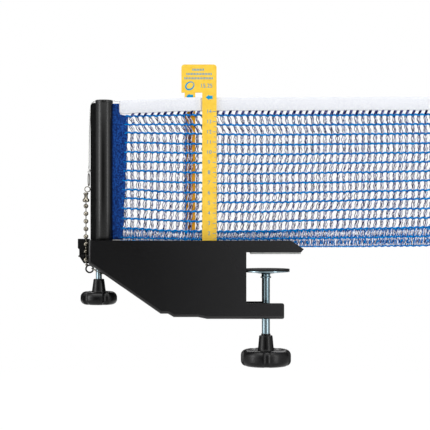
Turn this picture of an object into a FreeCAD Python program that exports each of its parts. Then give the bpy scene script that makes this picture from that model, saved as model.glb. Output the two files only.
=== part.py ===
import FreeCAD, Part
import math
import os
import re
import Sketcher

# Table tennis net clamp with its post, a stretch of net and a height gauge.
# Frame: millimetres, +Z up, +X towards the table, +Y away from the umpire's side.
# The origin is where the clamp screw's axis meets the upper jaw's rubber face.

os.makedirs("parts", exist_ok=True)
doc = FreeCAD.newDocument("NetClamp")
sheet = doc.addObject("Spreadsheet::Sheet", "Sizes")
reckoner = doc.addObject("Spreadsheet::Sheet", "Reckoner")

# Driving dimensions, in millimetres, and angles in degrees
SIZES = {
    "sheet_thick": 2.0,
    "bend_radius": 3.0,
    "bracket_width": 30.0,
    "wall_top": 13.2,
    "throat_reach": 19.5,
    "nose_reach": 36.5,
    "nose_rake": 12.4,
    "nose_level": 4.9,
    "nose_chin": 2.8,
    "heel_reach": 173.8,
    "heel_depth": 9.1,
    "slope_run": 70.6,
    "slope_drop": 49.1,
    "notch_flat": 7.1,
    "notch_ramp": 5.8,
    "notch_drop": 3.3,
    "sole_flat": 23.6,
    "sole_ramp": 8.8,
    "sole_drop": 1.8,
    "lower_arm_reach": 17.3,
    "lower_arm_height": 15.5,
    "lower_arm_corner": 2.0,
    "rear_arm_inset": 15.3,
    "jaw_pad_thick": 1.8,
    "jaw_pad_length": 49.3,
    "jaw_pad_margin": 0.5,
    "jaw_opening": 14.8,
    "disc_pad_thick": 1.6,
    "disc_radius": 23.4,
    "disc_rim": 1.4,
    "disc_boss_radius": 7.0,
    "disc_boss_depth": 3.2,
    "socket_radius": 4.3,
    "socket_length": 2.6,
    "clip_thick": 0.8,
    "clip_clear": 0.1,
    "clamp_screw_dia": 8.0,
    "clamp_tip_dia": 6.0,
    "clamp_flange_dia": 10.5,
    "clamp_flange_thick": 1.4,
    "clamp_nut_flats": 13.0,
    "clamp_nut_height": 12.0,
    "thread_clear": 0.05,
    "hole_clear": 0.4,
    "clamp_hub_top": 80.4,
    "clamp_hub_length": 15.4,
    "clamp_hub_dia": 13.3,
    "clamp_hub_root_dia": 15.8,
    "clamp_collar_dia": 9.2,
    "clamp_collar_rise": 1.8,
    "clamp_knob_dia": 49.4,
    "clamp_knob_height": 14.4,
    "knob_lobes": 5,
    "clamp_groove_dia": 9.0,
    "clamp_knob_turn": 0.0,
    "groove_depth": 2.8,
    "knob_round": 4.5,
    "knob_dish": 1.6,
    "screw_grip": 12.0,
    "post_inset": 14.5,
    "post_dia": 17.0,
    "post_wall": 1.5,
    "post_top": 148.5,
    "rib_reach": 13.2,
    "rib_width": 6.0,
    "rib_round": 3.5,
    "net_slot": 3.2,
    "slide_clear": 0.1,
    "tube_bottom": 9.5,
    "foot_base": 7.0,
    "foot_plug": 10.0,
    "foot_floor": 3.2,
    "plug_fit": 0.05,
    "guide_top": 11.0,
    "guide_height": 11.0,
    "guide_length": 24.0,
    "cap_lip": 2.9,
    "cap_overhang": 0.1,
    "cap_plug": 7.0,
    "cap_round": 1.0,
    "cord_groove": 2.2,
    "cord_groove_depth": 1.3,
    "height_screw_inset": 9.3,
    "height_screw_dia": 6.0,
    "height_neck_dia": 4.6,
    "height_clip_dia": 7.2,
    "height_washer_thick": 0.9,
    "height_nut_flats": 10.0,
    "height_nut_height": 5.0,
    "height_nut_drop": 1.0,
    "height_hub_top": 24.7,
    "height_hub_length": 13.9,
    "height_hub_dia": 11.4,
    "height_hub_root_dia": 12.9,
    "height_knob_dia": 36.0,
    "height_knob_height": 11.2,
    "height_groove_dia": 7.0,
    "height_knob_turn": 28.0,
    "rivet_dia": 4.0,
    "rivet_head_dia": 7.0,
    "rivet_head": 1.4,
    "rivet_grip": 6.0,
    "cleat_rivet_head_dia": 5.0,
    "cleat_reach": 11.9,
    "cleat_top": 14.7,
    "cleat_lip": 9.2,
    "cleat_inset": 1.4,
    "cleat_low": 9.6,
    "cleat_stand": 4.0,
    "cleat_shelf": 1.5,
    "cleat_shelf_level": 3.0,
    "cleat_shelf_reach": 4.5,
    "cleat_notch": 2.0,
    "chain_stand": 3.4,
    "bead_dia": 4.8,
    "bead_pitch": 7.5,
    "bead_count": 8,
    "bead_top": 47.0,
    "bead_link_dia": 1.3,
    "connector_dia": 6.6,
    "connector_height": 9.6,
    "wire_dia": 1.0,
    "link_ring_dia": 5.2,
    "end_ring_dia": 7.2,
    "end_ring_drop": 9.3,
    "end_ring_inset": 0.2,
    "loop_dia": 13.0,
    "loop_wire": 0.8,
    "loop_inset": 8.1,
    "loop_drop": 11.7,
    "loop_tilt": 25.0,
    "hook_stand": 0.6,
    "hook_length": 12.6,
    "knot_dia": 3.4,
    "knot_height": 4.6,
    "cord_dia": 1.4,
    "cord_slack": 2.4,
    "cord_run": 7.5,
    "cord_entry": 6.0,
    "tape_inset": 15.8,
    "net_end": 172.0,
    "net_bottom": 6.3,
    "net_thick": 1.0,
    "net_cord": 1.6,
    "net_strand": 1.8,
    "net_rows": 14,
    "net_columns": 21,
    "net_row_pitch": 9.25,
    "tape_height": 13.9,
    "tape_thick": 1.6,
    "tape_rise": 2.6,
    "tape_far_rise": 3.4,
    "tape_start_top": 151.0,
    "sleeve_top": 148.0,
    "sleeve_width": 15.0,
    "sleeve_taper": 5.5,
    "sleeve_bottom": 13.6,
    "sleeve_thick": 1.8,
    "sleeve_bulb_dia": 8.6,
    "sleeve_rod_dia": 5.0,
    "sleeve_gap": 1.0,
    "hem_width": 9.0,
    "gauge_thick": 2.0,
    "gauge_left": 83.2,
    "gauge_head_top": 186.4,
    "gauge_head_width": 34.7,
    "gauge_slot_top": 158.7,
    "gauge_shoulder": 3.2,
    "gauge_left_leg": 10.5,
    "gauge_slot": 6.8,
    "gauge_corner": 3.0,
    "gauge_bow": 2.4,
}

# Levels and places that follow from the driving dimensions
DERIVED = {
    "post_offset": "=heel_reach - post_inset",
    "height_screw_offset": "=heel_reach - height_screw_inset",
    "chain_offset": "=heel_reach + chain_stand",
    "end_ring_offset": "=heel_reach - end_ring_inset",
    "loop_offset": "=heel_reach - loop_inset",
    "hook_offset": "=heel_reach + hook_stand",
    "net_start": "=post_offset - tape_inset",
    "inner_half": "=bracket_width / 2 - sheet_thick",
    "slope": "=slope_drop / slope_run",
    "slope_lift": "=sheet_thick * sqrt(1 + slope * slope)",
    "notch_level": "=-heel_depth - slope_drop",
    "sole_level": "=notch_level - notch_drop",
    "floor_level": "=sole_level - sole_drop",
    "notch_start": "=-heel_reach + slope_run",
    "notch_end": "=notch_start + notch_flat",
    "sole_start": "=notch_end + notch_ramp",
    "sole_end": "=sole_start + sole_flat",
    "floor_start": "=sole_end + sole_ramp",
    "arm_level": "=floor_level + lower_arm_height",
    "disc_top": "=-jaw_opening - disc_pad_thick",
    "boss_level": "=disc_top - disc_boss_depth",
    "socket_level": "=boss_level - socket_length",
    "web_top": "=jaw_pad_thick + sheet_thick",
    "foot_level": "=tube_bottom - foot_base",
    "nut_top": "=-height_nut_drop",
    "nut_seat": "=nut_top - height_nut_height",
    "chamber_top": "=foot_level + foot_floor + clip_thick + 4 * clip_clear",
    "cap_top": "=post_top + cap_lip",
    "chain_low": "=bead_top - bead_pitch * (bead_count - 1)",
    "tape_start_bottom": "=tape_start_top - tape_height",
}


def fill_sheet():
    row = 1
    for name, value in list(SIZES.items()) + list(DERIVED.items()):
        sheet.set("A%d" % row, name)
        sheet.set("B%d" % row, str(value))
        sheet.setAlias("B%d" % row, name)
        row += 1
    sheet.recompute()


def linked(formula):
    # The same formula as another object of the document writes it.
    def link(match):
        word = match.group(0)
        return "Sizes." + word if word in SIZES or word in DERIVED else word
    return re.sub(r"[a-z_]+", link, formula)


def number(formula):
    # A second sheet works out a formula, so that the first stays untouched.
    reckoner.set("A1", "=" + linked(formula))
    reckoner.recompute()
    return float(reckoner.get("A1"))


def bind(item, target, formula):
    item.setExpression(target, linked(formula))


def place(item, x="0", y="0", z="0"):
    bind(item, ".Placement.Base.x", x)
    bind(item, ".Placement.Base.y", y)
    bind(item, ".Placement.Base.z", z)


TURNS = {
    "Z": FreeCAD.Rotation(),
    "Y": FreeCAD.Rotation(FreeCAD.Vector(1, 0, 0), -90),
    "X": FreeCAD.Rotation(FreeCAD.Vector(0, 1, 0), 90),
}


# Primitives whose sizes are bound to the sheet
def box(name, low, span):
    item = doc.addObject("Part::Box", name)
    for target, formula in zip(("Length", "Width", "Height"), span):
        bind(item, target, formula)
    place(item, *low)
    return item


def cylinder(name, radius, height, base, axis="Z"):
    item = doc.addObject("Part::Cylinder", name)
    item.Placement = FreeCAD.Placement(FreeCAD.Vector(), TURNS[axis])
    bind(item, "Radius", radius)
    bind(item, "Height", height)
    place(item, *base)
    return item


def hexagon(name, flats, height, base):
    item = doc.addObject("Part::Prism", name)
    item.Polygon = 6
    bind(item, "Circumradius", "(" + flats + ") / sqrt(3)")
    bind(item, "Height", height)
    place(item, *base)
    return item


def torus(name, ring, wire, centre, axis="Z", tilt=0.0):
    item = doc.addObject("Part::Torus", name)
    lean = FreeCAD.Rotation(FreeCAD.Vector(0, 1, 0), tilt)
    item.Placement = FreeCAD.Placement(FreeCAD.Vector(), TURNS[axis].multiply(lean))
    bind(item, "Radius1", ring)
    bind(item, "Radius2", wire)
    place(item, *centre)
    return item


def fuse(name, items):
    item = doc.addObject("Part::MultiFuse", name)
    item.Shapes = items
    item.Refine = True
    return item


def cut(name, base, tools):
    tool = tools[0] if len(tools) == 1 else fuse(name + "Tools", tools)
    item = doc.addObject("Part::Cut", name)
    item.Base = base
    item.Tool = tool
    return item


def rounded(name, base, radius, chosen):
    doc.recompute()
    size = number(radius)
    item = doc.addObject("Part::Fillet", name)
    item.Base = base
    edges = enumerate(base.Shape.Edges)
    item.Edges = [(index + 1, size, size) for index, edge in edges if chosen(edge)]
    return item


# Bodies with sketches bound to the sheet
def new_body(name):
    body = doc.addObject("PartDesign::Body", name)
    doc.recompute()
    return body


def new_sketch(body, name, role, offset="0"):
    item = body.newObject("Sketcher::SketchObject", name)
    for feature in body.Origin.OriginFeatures:
        if feature.Role == role:
            item.AttachmentSupport = [(feature, "")]
    item.MapMode = "FlatFace"
    bind(item, ".AttachmentOffset.Base.z", offset)
    return item


def pin_point(item, line, corner, across, up):
    for kind, axis, formula in (("DistanceX", -2, across), ("DistanceY", -1, up)):
        if formula == "0":
            item.addConstraint(Sketcher.Constraint("PointOnObject", line, corner, axis))
            continue
        rule = Sketcher.Constraint(kind, -1, 1, line, corner, number(formula))
        index = item.addConstraint(rule)
        bind(item, "Constraints[%d]" % index, formula)


def outline(item, points):
    corners = [FreeCAD.Vector(number(across), number(up), 0) for across, up in points]
    count = len(corners)
    for index in range(count):
        item.addGeometry(Part.LineSegment(corners[index], corners[(index + 1) % count]))
    for index in range(count):
        follows = (index + 1) % count
        item.addConstraint(Sketcher.Constraint("Coincident", index, 2, follows, 1))
    for index, (across, up) in enumerate(points):
        pin_point(item, index, 1, across, up)


def circle(item, across, up, radius):
    centre = FreeCAD.Vector(number(across), number(up), 0)
    line = item.addGeometry(Part.Circle(centre, FreeCAD.Vector(0, 0, 1), number(radius)))
    pin_point(item, line, 3, across, up)
    index = item.addConstraint(Sketcher.Constraint("Radius", line, number(radius)))
    bind(item, "Constraints[%d]" % index, radius)


def pad(body, name, profile, length, reverse=False):
    item = body.newObject("PartDesign::Pad", name)
    item.Profile = profile
    item.Reversed = reverse
    bind(item, "Length", length)
    doc.recompute()
    return item


def pocket(body, name, profile, reverse=False):
    before = body.Shape.Volume
    item = body.newObject("PartDesign::Pocket", name)
    item.Profile = profile
    item.Type = "ThroughAll"
    item.Reversed = reverse
    doc.recompute()
    if body.Shape.Volume >= before:
        raise RuntimeError(name + " cuts nothing")
    return item


def revolve(body, name, points):
    profile = new_sketch(body, name + "Profile", "XZ_Plane")
    outline(profile, points)
    item = body.newObject("PartDesign::Revolution", name)
    item.Profile = profile
    item.ReferenceAxis = (profile, ["V_Axis"])
    item.Angle = 360
    doc.recompute()
    return item


def round_edges(body, name, base, radius, chosen):
    names = []
    for index, edge in enumerate(base.Shape.Edges):
        if chosen(edge):
            names.append("Edge%d" % (index + 1))
    item = body.newObject("PartDesign::Fillet", name)
    item.Base = (base, names)
    bind(item, "Radius", radius)
    doc.recompute()
    return item


def feature(name, shape):
    item = doc.addObject("Part::Feature", name)
    item.Shape = shape
    return item


nodes = []


def keep(item, label):
    item.Label = label
    nodes.append(item)
    return item


# Bracket: one folded sheet at the front, a flat one welded on behind
FLANGED = [
    ("-heel_reach", "-heel_depth"),
    ("notch_start", "notch_level"),
    ("notch_end", "notch_level"),
    ("sole_start", "sole_level"),
    ("sole_end", "sole_level"),
    ("floor_start", "floor_level"),
    ("lower_arm_reach", "floor_level"),
]

UPPER = [
    ("-throat_reach", "arm_level"),
    ("-throat_reach", "jaw_pad_thick"),
    ("nose_reach - nose_chin", "jaw_pad_thick"),
    ("nose_reach", "nose_level"),
    ("nose_reach - nose_rake", "wall_top"),
    ("-heel_reach", "wall_top"),
]

REAR_REACH = "lower_arm_reach - rear_arm_inset"
WALL = FLANGED + [("lower_arm_reach", "arm_level")] + UPPER
REAR_WALL = FLANGED[:-1] + [(REAR_REACH, "floor_level"), (REAR_REACH, "arm_level")] + UPPER


def on_plane(edge, level):
    return all(abs(corner.Y - level) < 0.01 for corner in edge.Vertexes)


def is_lower_corner(edge):
    reach = number(REAR_REACH)
    upper = number("arm_level") + 0.1
    ends = edge.Vertexes
    across = abs(ends[0].Y - ends[-1].Y) > 1
    return across and all(abs(v.X - reach) < 0.01 and v.Z < upper for v in ends)


def front_plate():
    body = new_body("FrontPlate")
    face = new_sketch(body, "FrontWall", "XZ_Plane", "bracket_width / 2")
    outline(face, WALL)
    block = pad(body, "FrontBlock", face, "bracket_width - sheet_thick", True)
    front = -number("bracket_width / 2")
    top = number("wall_top")
    right = number("lower_arm_reach")

    def folded(edge):
        if not on_plane(edge, front):
            return False
        middle = edge.valueAt((edge.FirstParameter + edge.LastParameter) / 2)
        left_end = abs(middle.x + number("heel_reach")) < 0.01
        low = middle.z < number("arm_level") - 1 or middle.x < number("notch_start")
        return (left_end or low) and middle.z < top - 0.1 and middle.x < right - 0.1

    round_edges(body, "Bends", block, "bend_radius", folded)
    flange_end = "lower_arm_reach - lower_arm_corner"
    inner = [
        ("-heel_reach + sheet_thick", "-heel_depth - slope * sheet_thick + slope_lift"),
        ("notch_start + (slope_lift - sheet_thick) / slope", "notch_level + sheet_thick"),
        ("notch_end", "notch_level + sheet_thick"),
        ("sole_start", "sole_level + sheet_thick"),
        ("sole_end", "sole_level + sheet_thick"),
        ("floor_start", "floor_level + sheet_thick"),
        (flange_end, "floor_level + sheet_thick"),
        (flange_end, "floor_level - sheet_thick"),
        ("lower_arm_reach + sheet_thick", "floor_level - sheet_thick"),
        ("nose_reach + sheet_thick", "0"),
        ("nose_reach + sheet_thick", "wall_top + sheet_thick"),
        ("-heel_reach + sheet_thick", "wall_top + sheet_thick"),
    ]
    hollow = new_sketch(body, "Hollow", "XZ_Plane", "bracket_width / 2 - sheet_thick")
    outline(hollow, inner)
    pocket(body, "HollowCut", hollow)
    holes = new_sketch(body, "ScrewHoles", "XY_Plane", "floor_level - sheet_thick")
    circle(holes, "0", "0", "clamp_screw_dia / 2 + hole_clear")
    circle(holes, "-height_screw_offset", "0", "height_screw_dia / 2 + hole_clear")
    pocket(body, "ScrewHolesCut", holes, True)
    corners = [
        arm_corner("ArmFoot", "floor_level - lower_arm_corner", "floor_level + lower_arm_corner"),
        arm_corner("ArmTop", "arm_level - lower_arm_corner", "arm_level - lower_arm_corner"),
    ]
    # The rib on the post runs in a notch of the end wall.
    rib_notch = box(
        "RibNotch",
        ("-heel_reach", "-rib_width / 2 - hole_clear", "guide_top - guide_height"),
        ("sheet_thick", "rib_width + 2 * hole_clear", "wall_top - guide_top + guide_height"),
    )
    return keep(cut("FrontPlateTrimmed", body, corners + [rib_notch]), "front_plate")


def arm_corner(name, base, centre):
    radius = "lower_arm_corner"
    start = "lower_arm_reach - " + radius
    blank = box(
        name + "Blank",
        (start, "-bracket_width / 2", base),
        ("2 * " + radius, "bracket_width", "2 * " + radius),
    )
    keeps = cylinder(
        name + "Round", radius, "bracket_width", (start, "-bracket_width / 2", centre), "Y"
    )
    return cut(name, blank, [keeps])


def rear_plate():
    body = new_body("RearPlate")
    face = new_sketch(body, "RearWall", "XZ_Plane", "-bracket_width / 2 + sheet_thick")
    outline(face, REAR_WALL)
    wall = pad(body, "RearPad", face, "sheet_thick", True)
    round_edges(body, "ArmCorner", wall, "lower_arm_corner", is_lower_corner)
    holes = new_sketch(body, "RivetHoles", "XZ_Plane", "-bracket_width / 2 - sheet_thick")
    for place_x in GUIDE_RIVETS:
        circle(holes, place_x, "guide_top - guide_height / 2", "rivet_dia / 2")
    pocket(body, "RivetHolesCut", holes, True)
    return keep(body, "rear_plate")


GUIDE_START = "(-heel_reach + sheet_thick)"
GUIDE_RIVETS = (
    "-heel_reach + sheet_thick + rivet_head_dia / 2",
    "-heel_reach + sheet_thick + guide_length - rivet_head_dia / 2",
)


def jaw_parts():
    web = box(
        "JawWeb",
        ("-net_start", "-inner_half", "jaw_pad_thick"),
        ("net_start + nose_reach - nose_chin", "2 * inner_half", "sheet_thick"),
    )
    keep(web, "jaw_web")
    pad_start = "(nose_reach - nose_chin - jaw_pad_length)"
    half = "(inner_half - jaw_pad_margin)"
    rubber = box(
        "JawPad",
        (pad_start, "-" + half, "0"),
        ("jaw_pad_length", "2 * " + half, "jaw_pad_thick"),
    )
    keep(rubber, "upper_jaw_pad")
    nut_base = ("0", "0", "floor_level + sheet_thick")
    nut = hexagon("ClampNutBlank", "clamp_nut_flats", "clamp_nut_height", nut_base)
    thread = cylinder(
        "ClampNutBore", "clamp_screw_dia / 2 + thread_clear", "clamp_nut_height", nut_base
    )
    keep(cut("ClampNut", nut, [thread]), "clamp_nut")


# The post's outline: a round tube with a rib on its outer side
def post_outline(name, grow, base, height):
    round_part = cylinder(
        name + "Round", "post_dia / 2 + " + grow, height, ("-post_offset", "0", base)
    )
    rib = box(
        name + "Rib",
        ("-post_offset - rib_reach - " + grow, "-rib_width / 2 - " + grow, base),
        ("rib_reach + " + grow, "rib_width + 2 * (" + grow + ")", height),
    )
    return fuse(name, [round_part, rib])


def guide_parts():
    blank = box(
        "GuideBlank",
        (GUIDE_START, "-inner_half", "guide_top - guide_height"),
        ("guide_length", "2 * inner_half", "guide_height"),
    )
    bore = post_outline("GuideBore", "slide_clear", "guide_top - guide_height", "guide_height")
    level = "guide_top - guide_height / 2"
    pins = []
    rivets = []
    for index, place_x in enumerate(GUIDE_RIVETS):
        start = (place_x, "inner_half - rivet_grip", level)
        length = "rivet_grip + sheet_thick"
        pins.append(cylinder("RivetHole%d" % index, "rivet_dia / 2", length, start, "Y"))
        shank = cylinder("RivetShank%d" % index, "rivet_dia / 2", length, start, "Y")
        outside = (place_x, "bracket_width / 2", level)
        head = cylinder(
            "RivetHead%d" % index, "rivet_head_dia / 2", "rivet_head", outside, "Y"
        )
        rivets.append(fuse("Rivet%d" % index, [shank, head]))
    keep(cut("PostGuide", blank, [bore] + pins), "post_guide")
    group = doc.addObject("Part::Compound", "GuideRivets")
    group.Links = rivets
    keep(group, "guide_rivets")


def height_nut_parts():
    seat = box(
        "NutSeatBlank",
        (GUIDE_START, "-inner_half", "nut_seat - sheet_thick"),
        ("guide_length", "2 * inner_half", "sheet_thick"),
    )
    passage = cylinder(
        "NutSeatHole",
        "height_screw_dia / 2 + hole_clear",
        "sheet_thick",
        ("-height_screw_offset", "0", "nut_seat - sheet_thick"),
    )
    keep(cut("NutSeat", seat, [passage]), "height_nut_plate")
    base = ("-height_screw_offset", "0", "nut_seat")
    nut = hexagon("HeightNutBlank", "height_nut_flats", "height_nut_height", base)
    thread = cylinder(
        "HeightNutBore", "height_screw_dia / 2 + thread_clear", "height_nut_height", base
    )
    keep(cut("HeightNut", nut, [thread]), "height_nut")


def cleat_parts():
    web = new_body("ChainCleat")
    face = new_sketch(web, "CleatWeb", "XZ_Plane", "-cleat_stand")
    outline(face, [
        ("-heel_reach", "cleat_top"),
        ("-heel_reach - cleat_reach", "cleat_top"),
        ("-heel_reach - cleat_reach", "cleat_top - cleat_lip"),
        ("-heel_reach - cleat_reach + cleat_inset", "cleat_top - cleat_lip - cleat_inset"),
        ("-heel_reach - cleat_reach + cleat_inset", "-cleat_shelf_level"),
        ("-heel_reach - cleat_reach / 2", "-cleat_low"),
        ("-heel_reach", "-cleat_low"),
    ])
    pad(web, "CleatWebPad", face, "sheet_thick", True)
    flange = new_sketch(web, "CleatFlange", "XY_Plane", "-heel_depth + bend_radius")
    outline(flange, [
        ("-heel_reach", "cleat_stand"),
        ("-heel_reach", "inner_half"),
        ("-heel_reach - sheet_thick", "inner_half"),
        ("-heel_reach - sheet_thick", "cleat_stand"),
    ])
    pad(web, "CleatFlangePad", flange, "wall_top + heel_depth - bend_radius")
    shelf = new_sketch(web, "CleatShelf", "XY_Plane", "-cleat_shelf_level")
    outline(shelf, [
        ("-heel_reach - sheet_thick", "cleat_stand"),
        ("-heel_reach - cleat_reach + cleat_inset", "cleat_stand"),
        ("-heel_reach - cleat_reach + cleat_inset", "-cleat_shelf_reach"),
        ("-chain_offset - cleat_notch / 2", "-cleat_shelf_reach"),
        ("-chain_offset - cleat_notch / 2", "cleat_notch / 2"),
        ("-chain_offset + cleat_notch / 2", "cleat_notch / 2"),
        ("-chain_offset + cleat_notch / 2", "-cleat_shelf_reach"),
        ("-heel_reach", "-cleat_shelf_reach"),
        ("-heel_reach", "cleat_stand"),
    ])
    pad(web, "CleatShelfPad", shelf, "cleat_shelf")
    keep(web, "chain_cleat")
    rivets = []
    middle = "(cleat_stand + sheet_thick + inner_half) / 2"
    for index, level in enumerate(("wall_top / 4", "wall_top * 3 / 4")):
        spot = ("-heel_reach - sheet_thick - rivet_head", middle, level)
        head = cylinder(
            "CleatRivet%d" % index, "cleat_rivet_head_dia / 2", "rivet_head", spot, "X"
        )
        rivets.append(head)
    group = doc.addObject("Part::Compound", "CleatRivets")
    group.Links = rivets
    keep(group, "cleat_rivets")


# Clamp: pressure plate on the end of the screw
def clip_bodies(label, name, inner, outer, x, level):
    blank = cylinder(name + "Blank", outer, "clip_thick", (x, "0", level))
    groove = cylinder(name + "Bore", inner, "clip_thick", (x, "0", level))
    gap = box(
        name + "Gap", (x, "-(" + inner + ") / 2", level), (outer, inner, "clip_thick")
    )
    keep(cut(name, blank, [groove, gap]), label)


def pressure_parts():
    pad_disc = cylinder(
        "PressurePad", "disc_radius", "disc_pad_thick", ("0", "0", "disc_top")
    )
    keep(pad_disc, "pressure_pad")
    plate = new_body("PressurePlate")
    pit = "(clip_thick + 4 * clip_clear)"
    bore = "(clamp_tip_dia / 2 + thread_clear)"
    revolve(plate, "Plate", [
        ("clamp_tip_dia / 2 + 2", "disc_top"),
        ("disc_radius", "disc_top"),
        ("disc_radius", "disc_top - disc_rim"),
        ("disc_boss_radius + 2", "disc_top - disc_rim - 1"),
        ("disc_boss_radius", "boss_level"),
        (bore, "boss_level"),
        (bore, "disc_top - " + pit),
        ("clamp_tip_dia / 2 + 2", "disc_top - " + pit),
    ])
    keep(plate, "pressure_plate")
    collar = cylinder("SocketBlank", "socket_radius", "socket_length", ("0", "0", "socket_level"))
    hole = cylinder("SocketBore", bore, "socket_length", ("0", "0", "socket_level"))
    keep(cut("Socket", collar, [hole]), "swivel_socket")


def clamp_screw_parts():
    body = new_body("ClampScrew")
    tip = "clamp_tip_dia / 2"
    neck = "(clamp_tip_dia / 2 - clip_thick)"
    clip_low = "disc_top - clip_thick - 3 * clip_clear"
    flange_top = "socket_level - clip_clear"
    end = "-clamp_hub_top - screw_grip"
    revolve(body, "Screw", [
        ("0", "disc_top - clip_clear"),
        (tip, "disc_top - clip_clear"),
        (tip, clip_low + " + clip_thick"),
        (neck, clip_low + " + clip_thick"),
        (neck, clip_low),
        (tip, clip_low),
        (tip, flange_top),
        ("clamp_flange_dia / 2", flange_top),
        ("clamp_flange_dia / 2", flange_top + " - clamp_flange_thick"),
        ("clamp_screw_dia / 2", flange_top + " - clamp_flange_thick"),
        ("clamp_screw_dia / 2", end),
        ("0", end),
    ])
    keep(body, "clamp_screw")
    clip_bodies("clamp_screw_clip", "ClampClip", neck, "(clamp_tip_dia / 2 + 1.6)", "0", clip_low)


def knob(label, name, x, prefix, bore, collar=()):
    body = new_body(name)
    top = "-" + prefix + "_hub_top"
    seat = top + " - " + prefix + "_hub_length"
    floor = seat + " - " + prefix + "_knob_height"
    rim = prefix + "_knob_dia / 2"
    shape = revolve(body, name + "Turned", list(collar or [(bore, top)]) + [
        (prefix + "_hub_dia / 2", top),
        (prefix + "_hub_root_dia / 2", seat),
        (rim + " - knob_round * 2.2", seat),
        (rim + " - knob_round * 1.2", seat + " + knob_dish"),
        (rim, seat + " + knob_dish"),
        (rim, floor),
        ("0", floor),
        ("0", top + " - screw_grip"),
        (bore, top + " - screw_grip"),
    ])
    edge_radius = number(rim)

    def outer(edge):
        curve = edge.Curve
        return hasattr(curve, "Radius") and abs(curve.Radius - edge_radius) < 0.01

    round_edges(body, name + "Rounds", shape, "knob_round", outer)
    scallop = new_sketch(body, name + "Scallop", "XY_Plane", floor)
    spread = "(" + prefix + "_knob_dia / 2 + " + prefix + "_groove_dia / 2 - groove_depth)"
    circle(scallop, "0", "-" + spread, prefix + "_groove_dia / 2")
    groove = pocket(body, name + "Groove", scallop, True)
    ring = body.newObject("PartDesign::PolarPattern", name + "Grooves")
    ring.Originals = [groove]
    ring.Axis = (scallop, ["N_Axis"])
    axis = next(f for f in body.Origin.OriginFeatures if f.Role == "Z_Axis")
    ring.Axis = (axis, [""])
    ring.Angle = 360
    bind(ring, "Occurrences", "knob_lobes")
    body.Tip = ring
    doc.recompute()
    bind(body, ".Placement.Base.x", x)
    bind(body, ".Placement.Rotation.Angle", prefix + "_knob_turn")
    return keep(body, label)


# Post: slotted tube, cap and foot
def post_parts():
    span = "post_top - tube_bottom"
    blank = post_outline("TubeBlank", "0", "tube_bottom", span)
    reach = number("post_offset + rib_reach")
    top = number("post_top")

    def shoulder(edge):
        return all(abs(v.X + reach) < 0.01 and abs(v.Z - top) < 0.01 for v in edge.Vertexes)

    corner = rounded("TubeShoulder", blank, "rib_round", shoulder)
    inside = cylinder(
        "TubeBore", "post_dia / 2 - post_wall", span, ("-post_offset", "0", "tube_bottom")
    )
    slot = box(
        "TubeSlot", ("-post_offset", "-net_slot / 2", "tube_bottom"), ("post_dia", "net_slot", span)
    )
    keep(cut("PostTube", corner, [inside, slot]), "post_tube")

    bore = "(post_dia / 2 - post_wall - plug_fit)"
    base = post_outline("FootBase", "0", "foot_level", "foot_base")
    plug = cylinder("FootPlug", bore, "foot_plug", ("-post_offset", "0", "tube_bottom"))
    neck_x = "-height_screw_offset"
    neck = "(height_neck_dia / 2 + clip_clear)"
    floor = "foot_level + foot_floor"
    room = "(height_clip_dia / 2 + clip_clear)"
    passage = cylinder("FootNeck", neck, "foot_floor", (neck_x, "0", "foot_level"))
    chamber = cylinder("FootChamber", room, "chamber_top - " + floor, (neck_x, "0", floor))
    side = box(
        "FootNeckSlot", (neck_x + " - " + neck, "0", "foot_level"),
        ("2 * " + neck, "post_dia", "foot_floor"),
    )
    wide = box(
        "FootChamberSlot", (neck_x + " - " + room, "0", floor),
        ("2 * " + room, "post_dia", "chamber_top - (" + floor + ")"),
    )
    keep(cut("PostFoot", fuse("FootBlank", [base, plug]), [passage, chamber, side, wide]),
         "post_foot")

    lip = cylinder(
        "CapLip", "post_dia / 2 + cap_overhang", "cap_lip", ("-post_offset", "0", "post_top")
    )
    stem = cylinder(
        "CapStem", bore, "cap_plug", ("-post_offset", "0", "post_top - cap_plug")
    )
    track = box(
        "CapTrack",
        ("-post_offset - post_dia", "-cord_groove / 2", "cap_top - cord_groove_depth"),
        ("2 * post_dia", "cord_groove", "2 * cord_groove_depth"),
    )
    lip_top = number("cap_top")

    def rim(edge):
        return all(abs(v.Z - lip_top) < 0.01 for v in edge.Vertexes)

    lid = rounded("CapRounded", lip, "cap_round", rim)
    keep(cut("PostCap", fuse("CapBlank", [lid, stem]), [track]), "post_cap")


def height_screw_parts():
    body = new_body("HeightScrew")
    neck = "height_neck_dia / 2"
    thread = "height_screw_dia / 2"
    washer_top = "foot_level - clip_clear"
    clip_low = "foot_level + foot_floor + clip_clear"
    groove = "(height_neck_dia / 2 - clip_thick)"
    end = "-height_hub_top - screw_grip"
    revolve(body, "HeightScrewTurned", [
        ("0", "chamber_top - clip_clear"),
        (neck, "chamber_top - clip_clear"),
        (neck, clip_low + " + clip_thick"),
        (groove, clip_low + " + clip_thick"),
        (groove, clip_low),
        (neck, clip_low),
        (neck, washer_top + " - height_washer_thick"),
        (thread, washer_top + " - height_washer_thick"),
        (thread, end),
        ("0", end),
    ])
    bind(body, ".Placement.Base.x", "-height_screw_offset")
    keep(body, "height_screw")
    x = "-height_screw_offset"
    clip_bodies("height_screw_clip", "HeightClip", groove, "height_clip_dia / 2", x, clip_low)
    base = (x, "0", washer_top + " - height_washer_thick")
    disc = cylinder("WasherBlank", "height_clip_dia / 2", "height_washer_thick", base)
    hole = cylinder("WasherBore", neck, "height_washer_thick", base)
    keep(cut("ThrustWasher", disc, [hole]), "height_thrust_washer")


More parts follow.
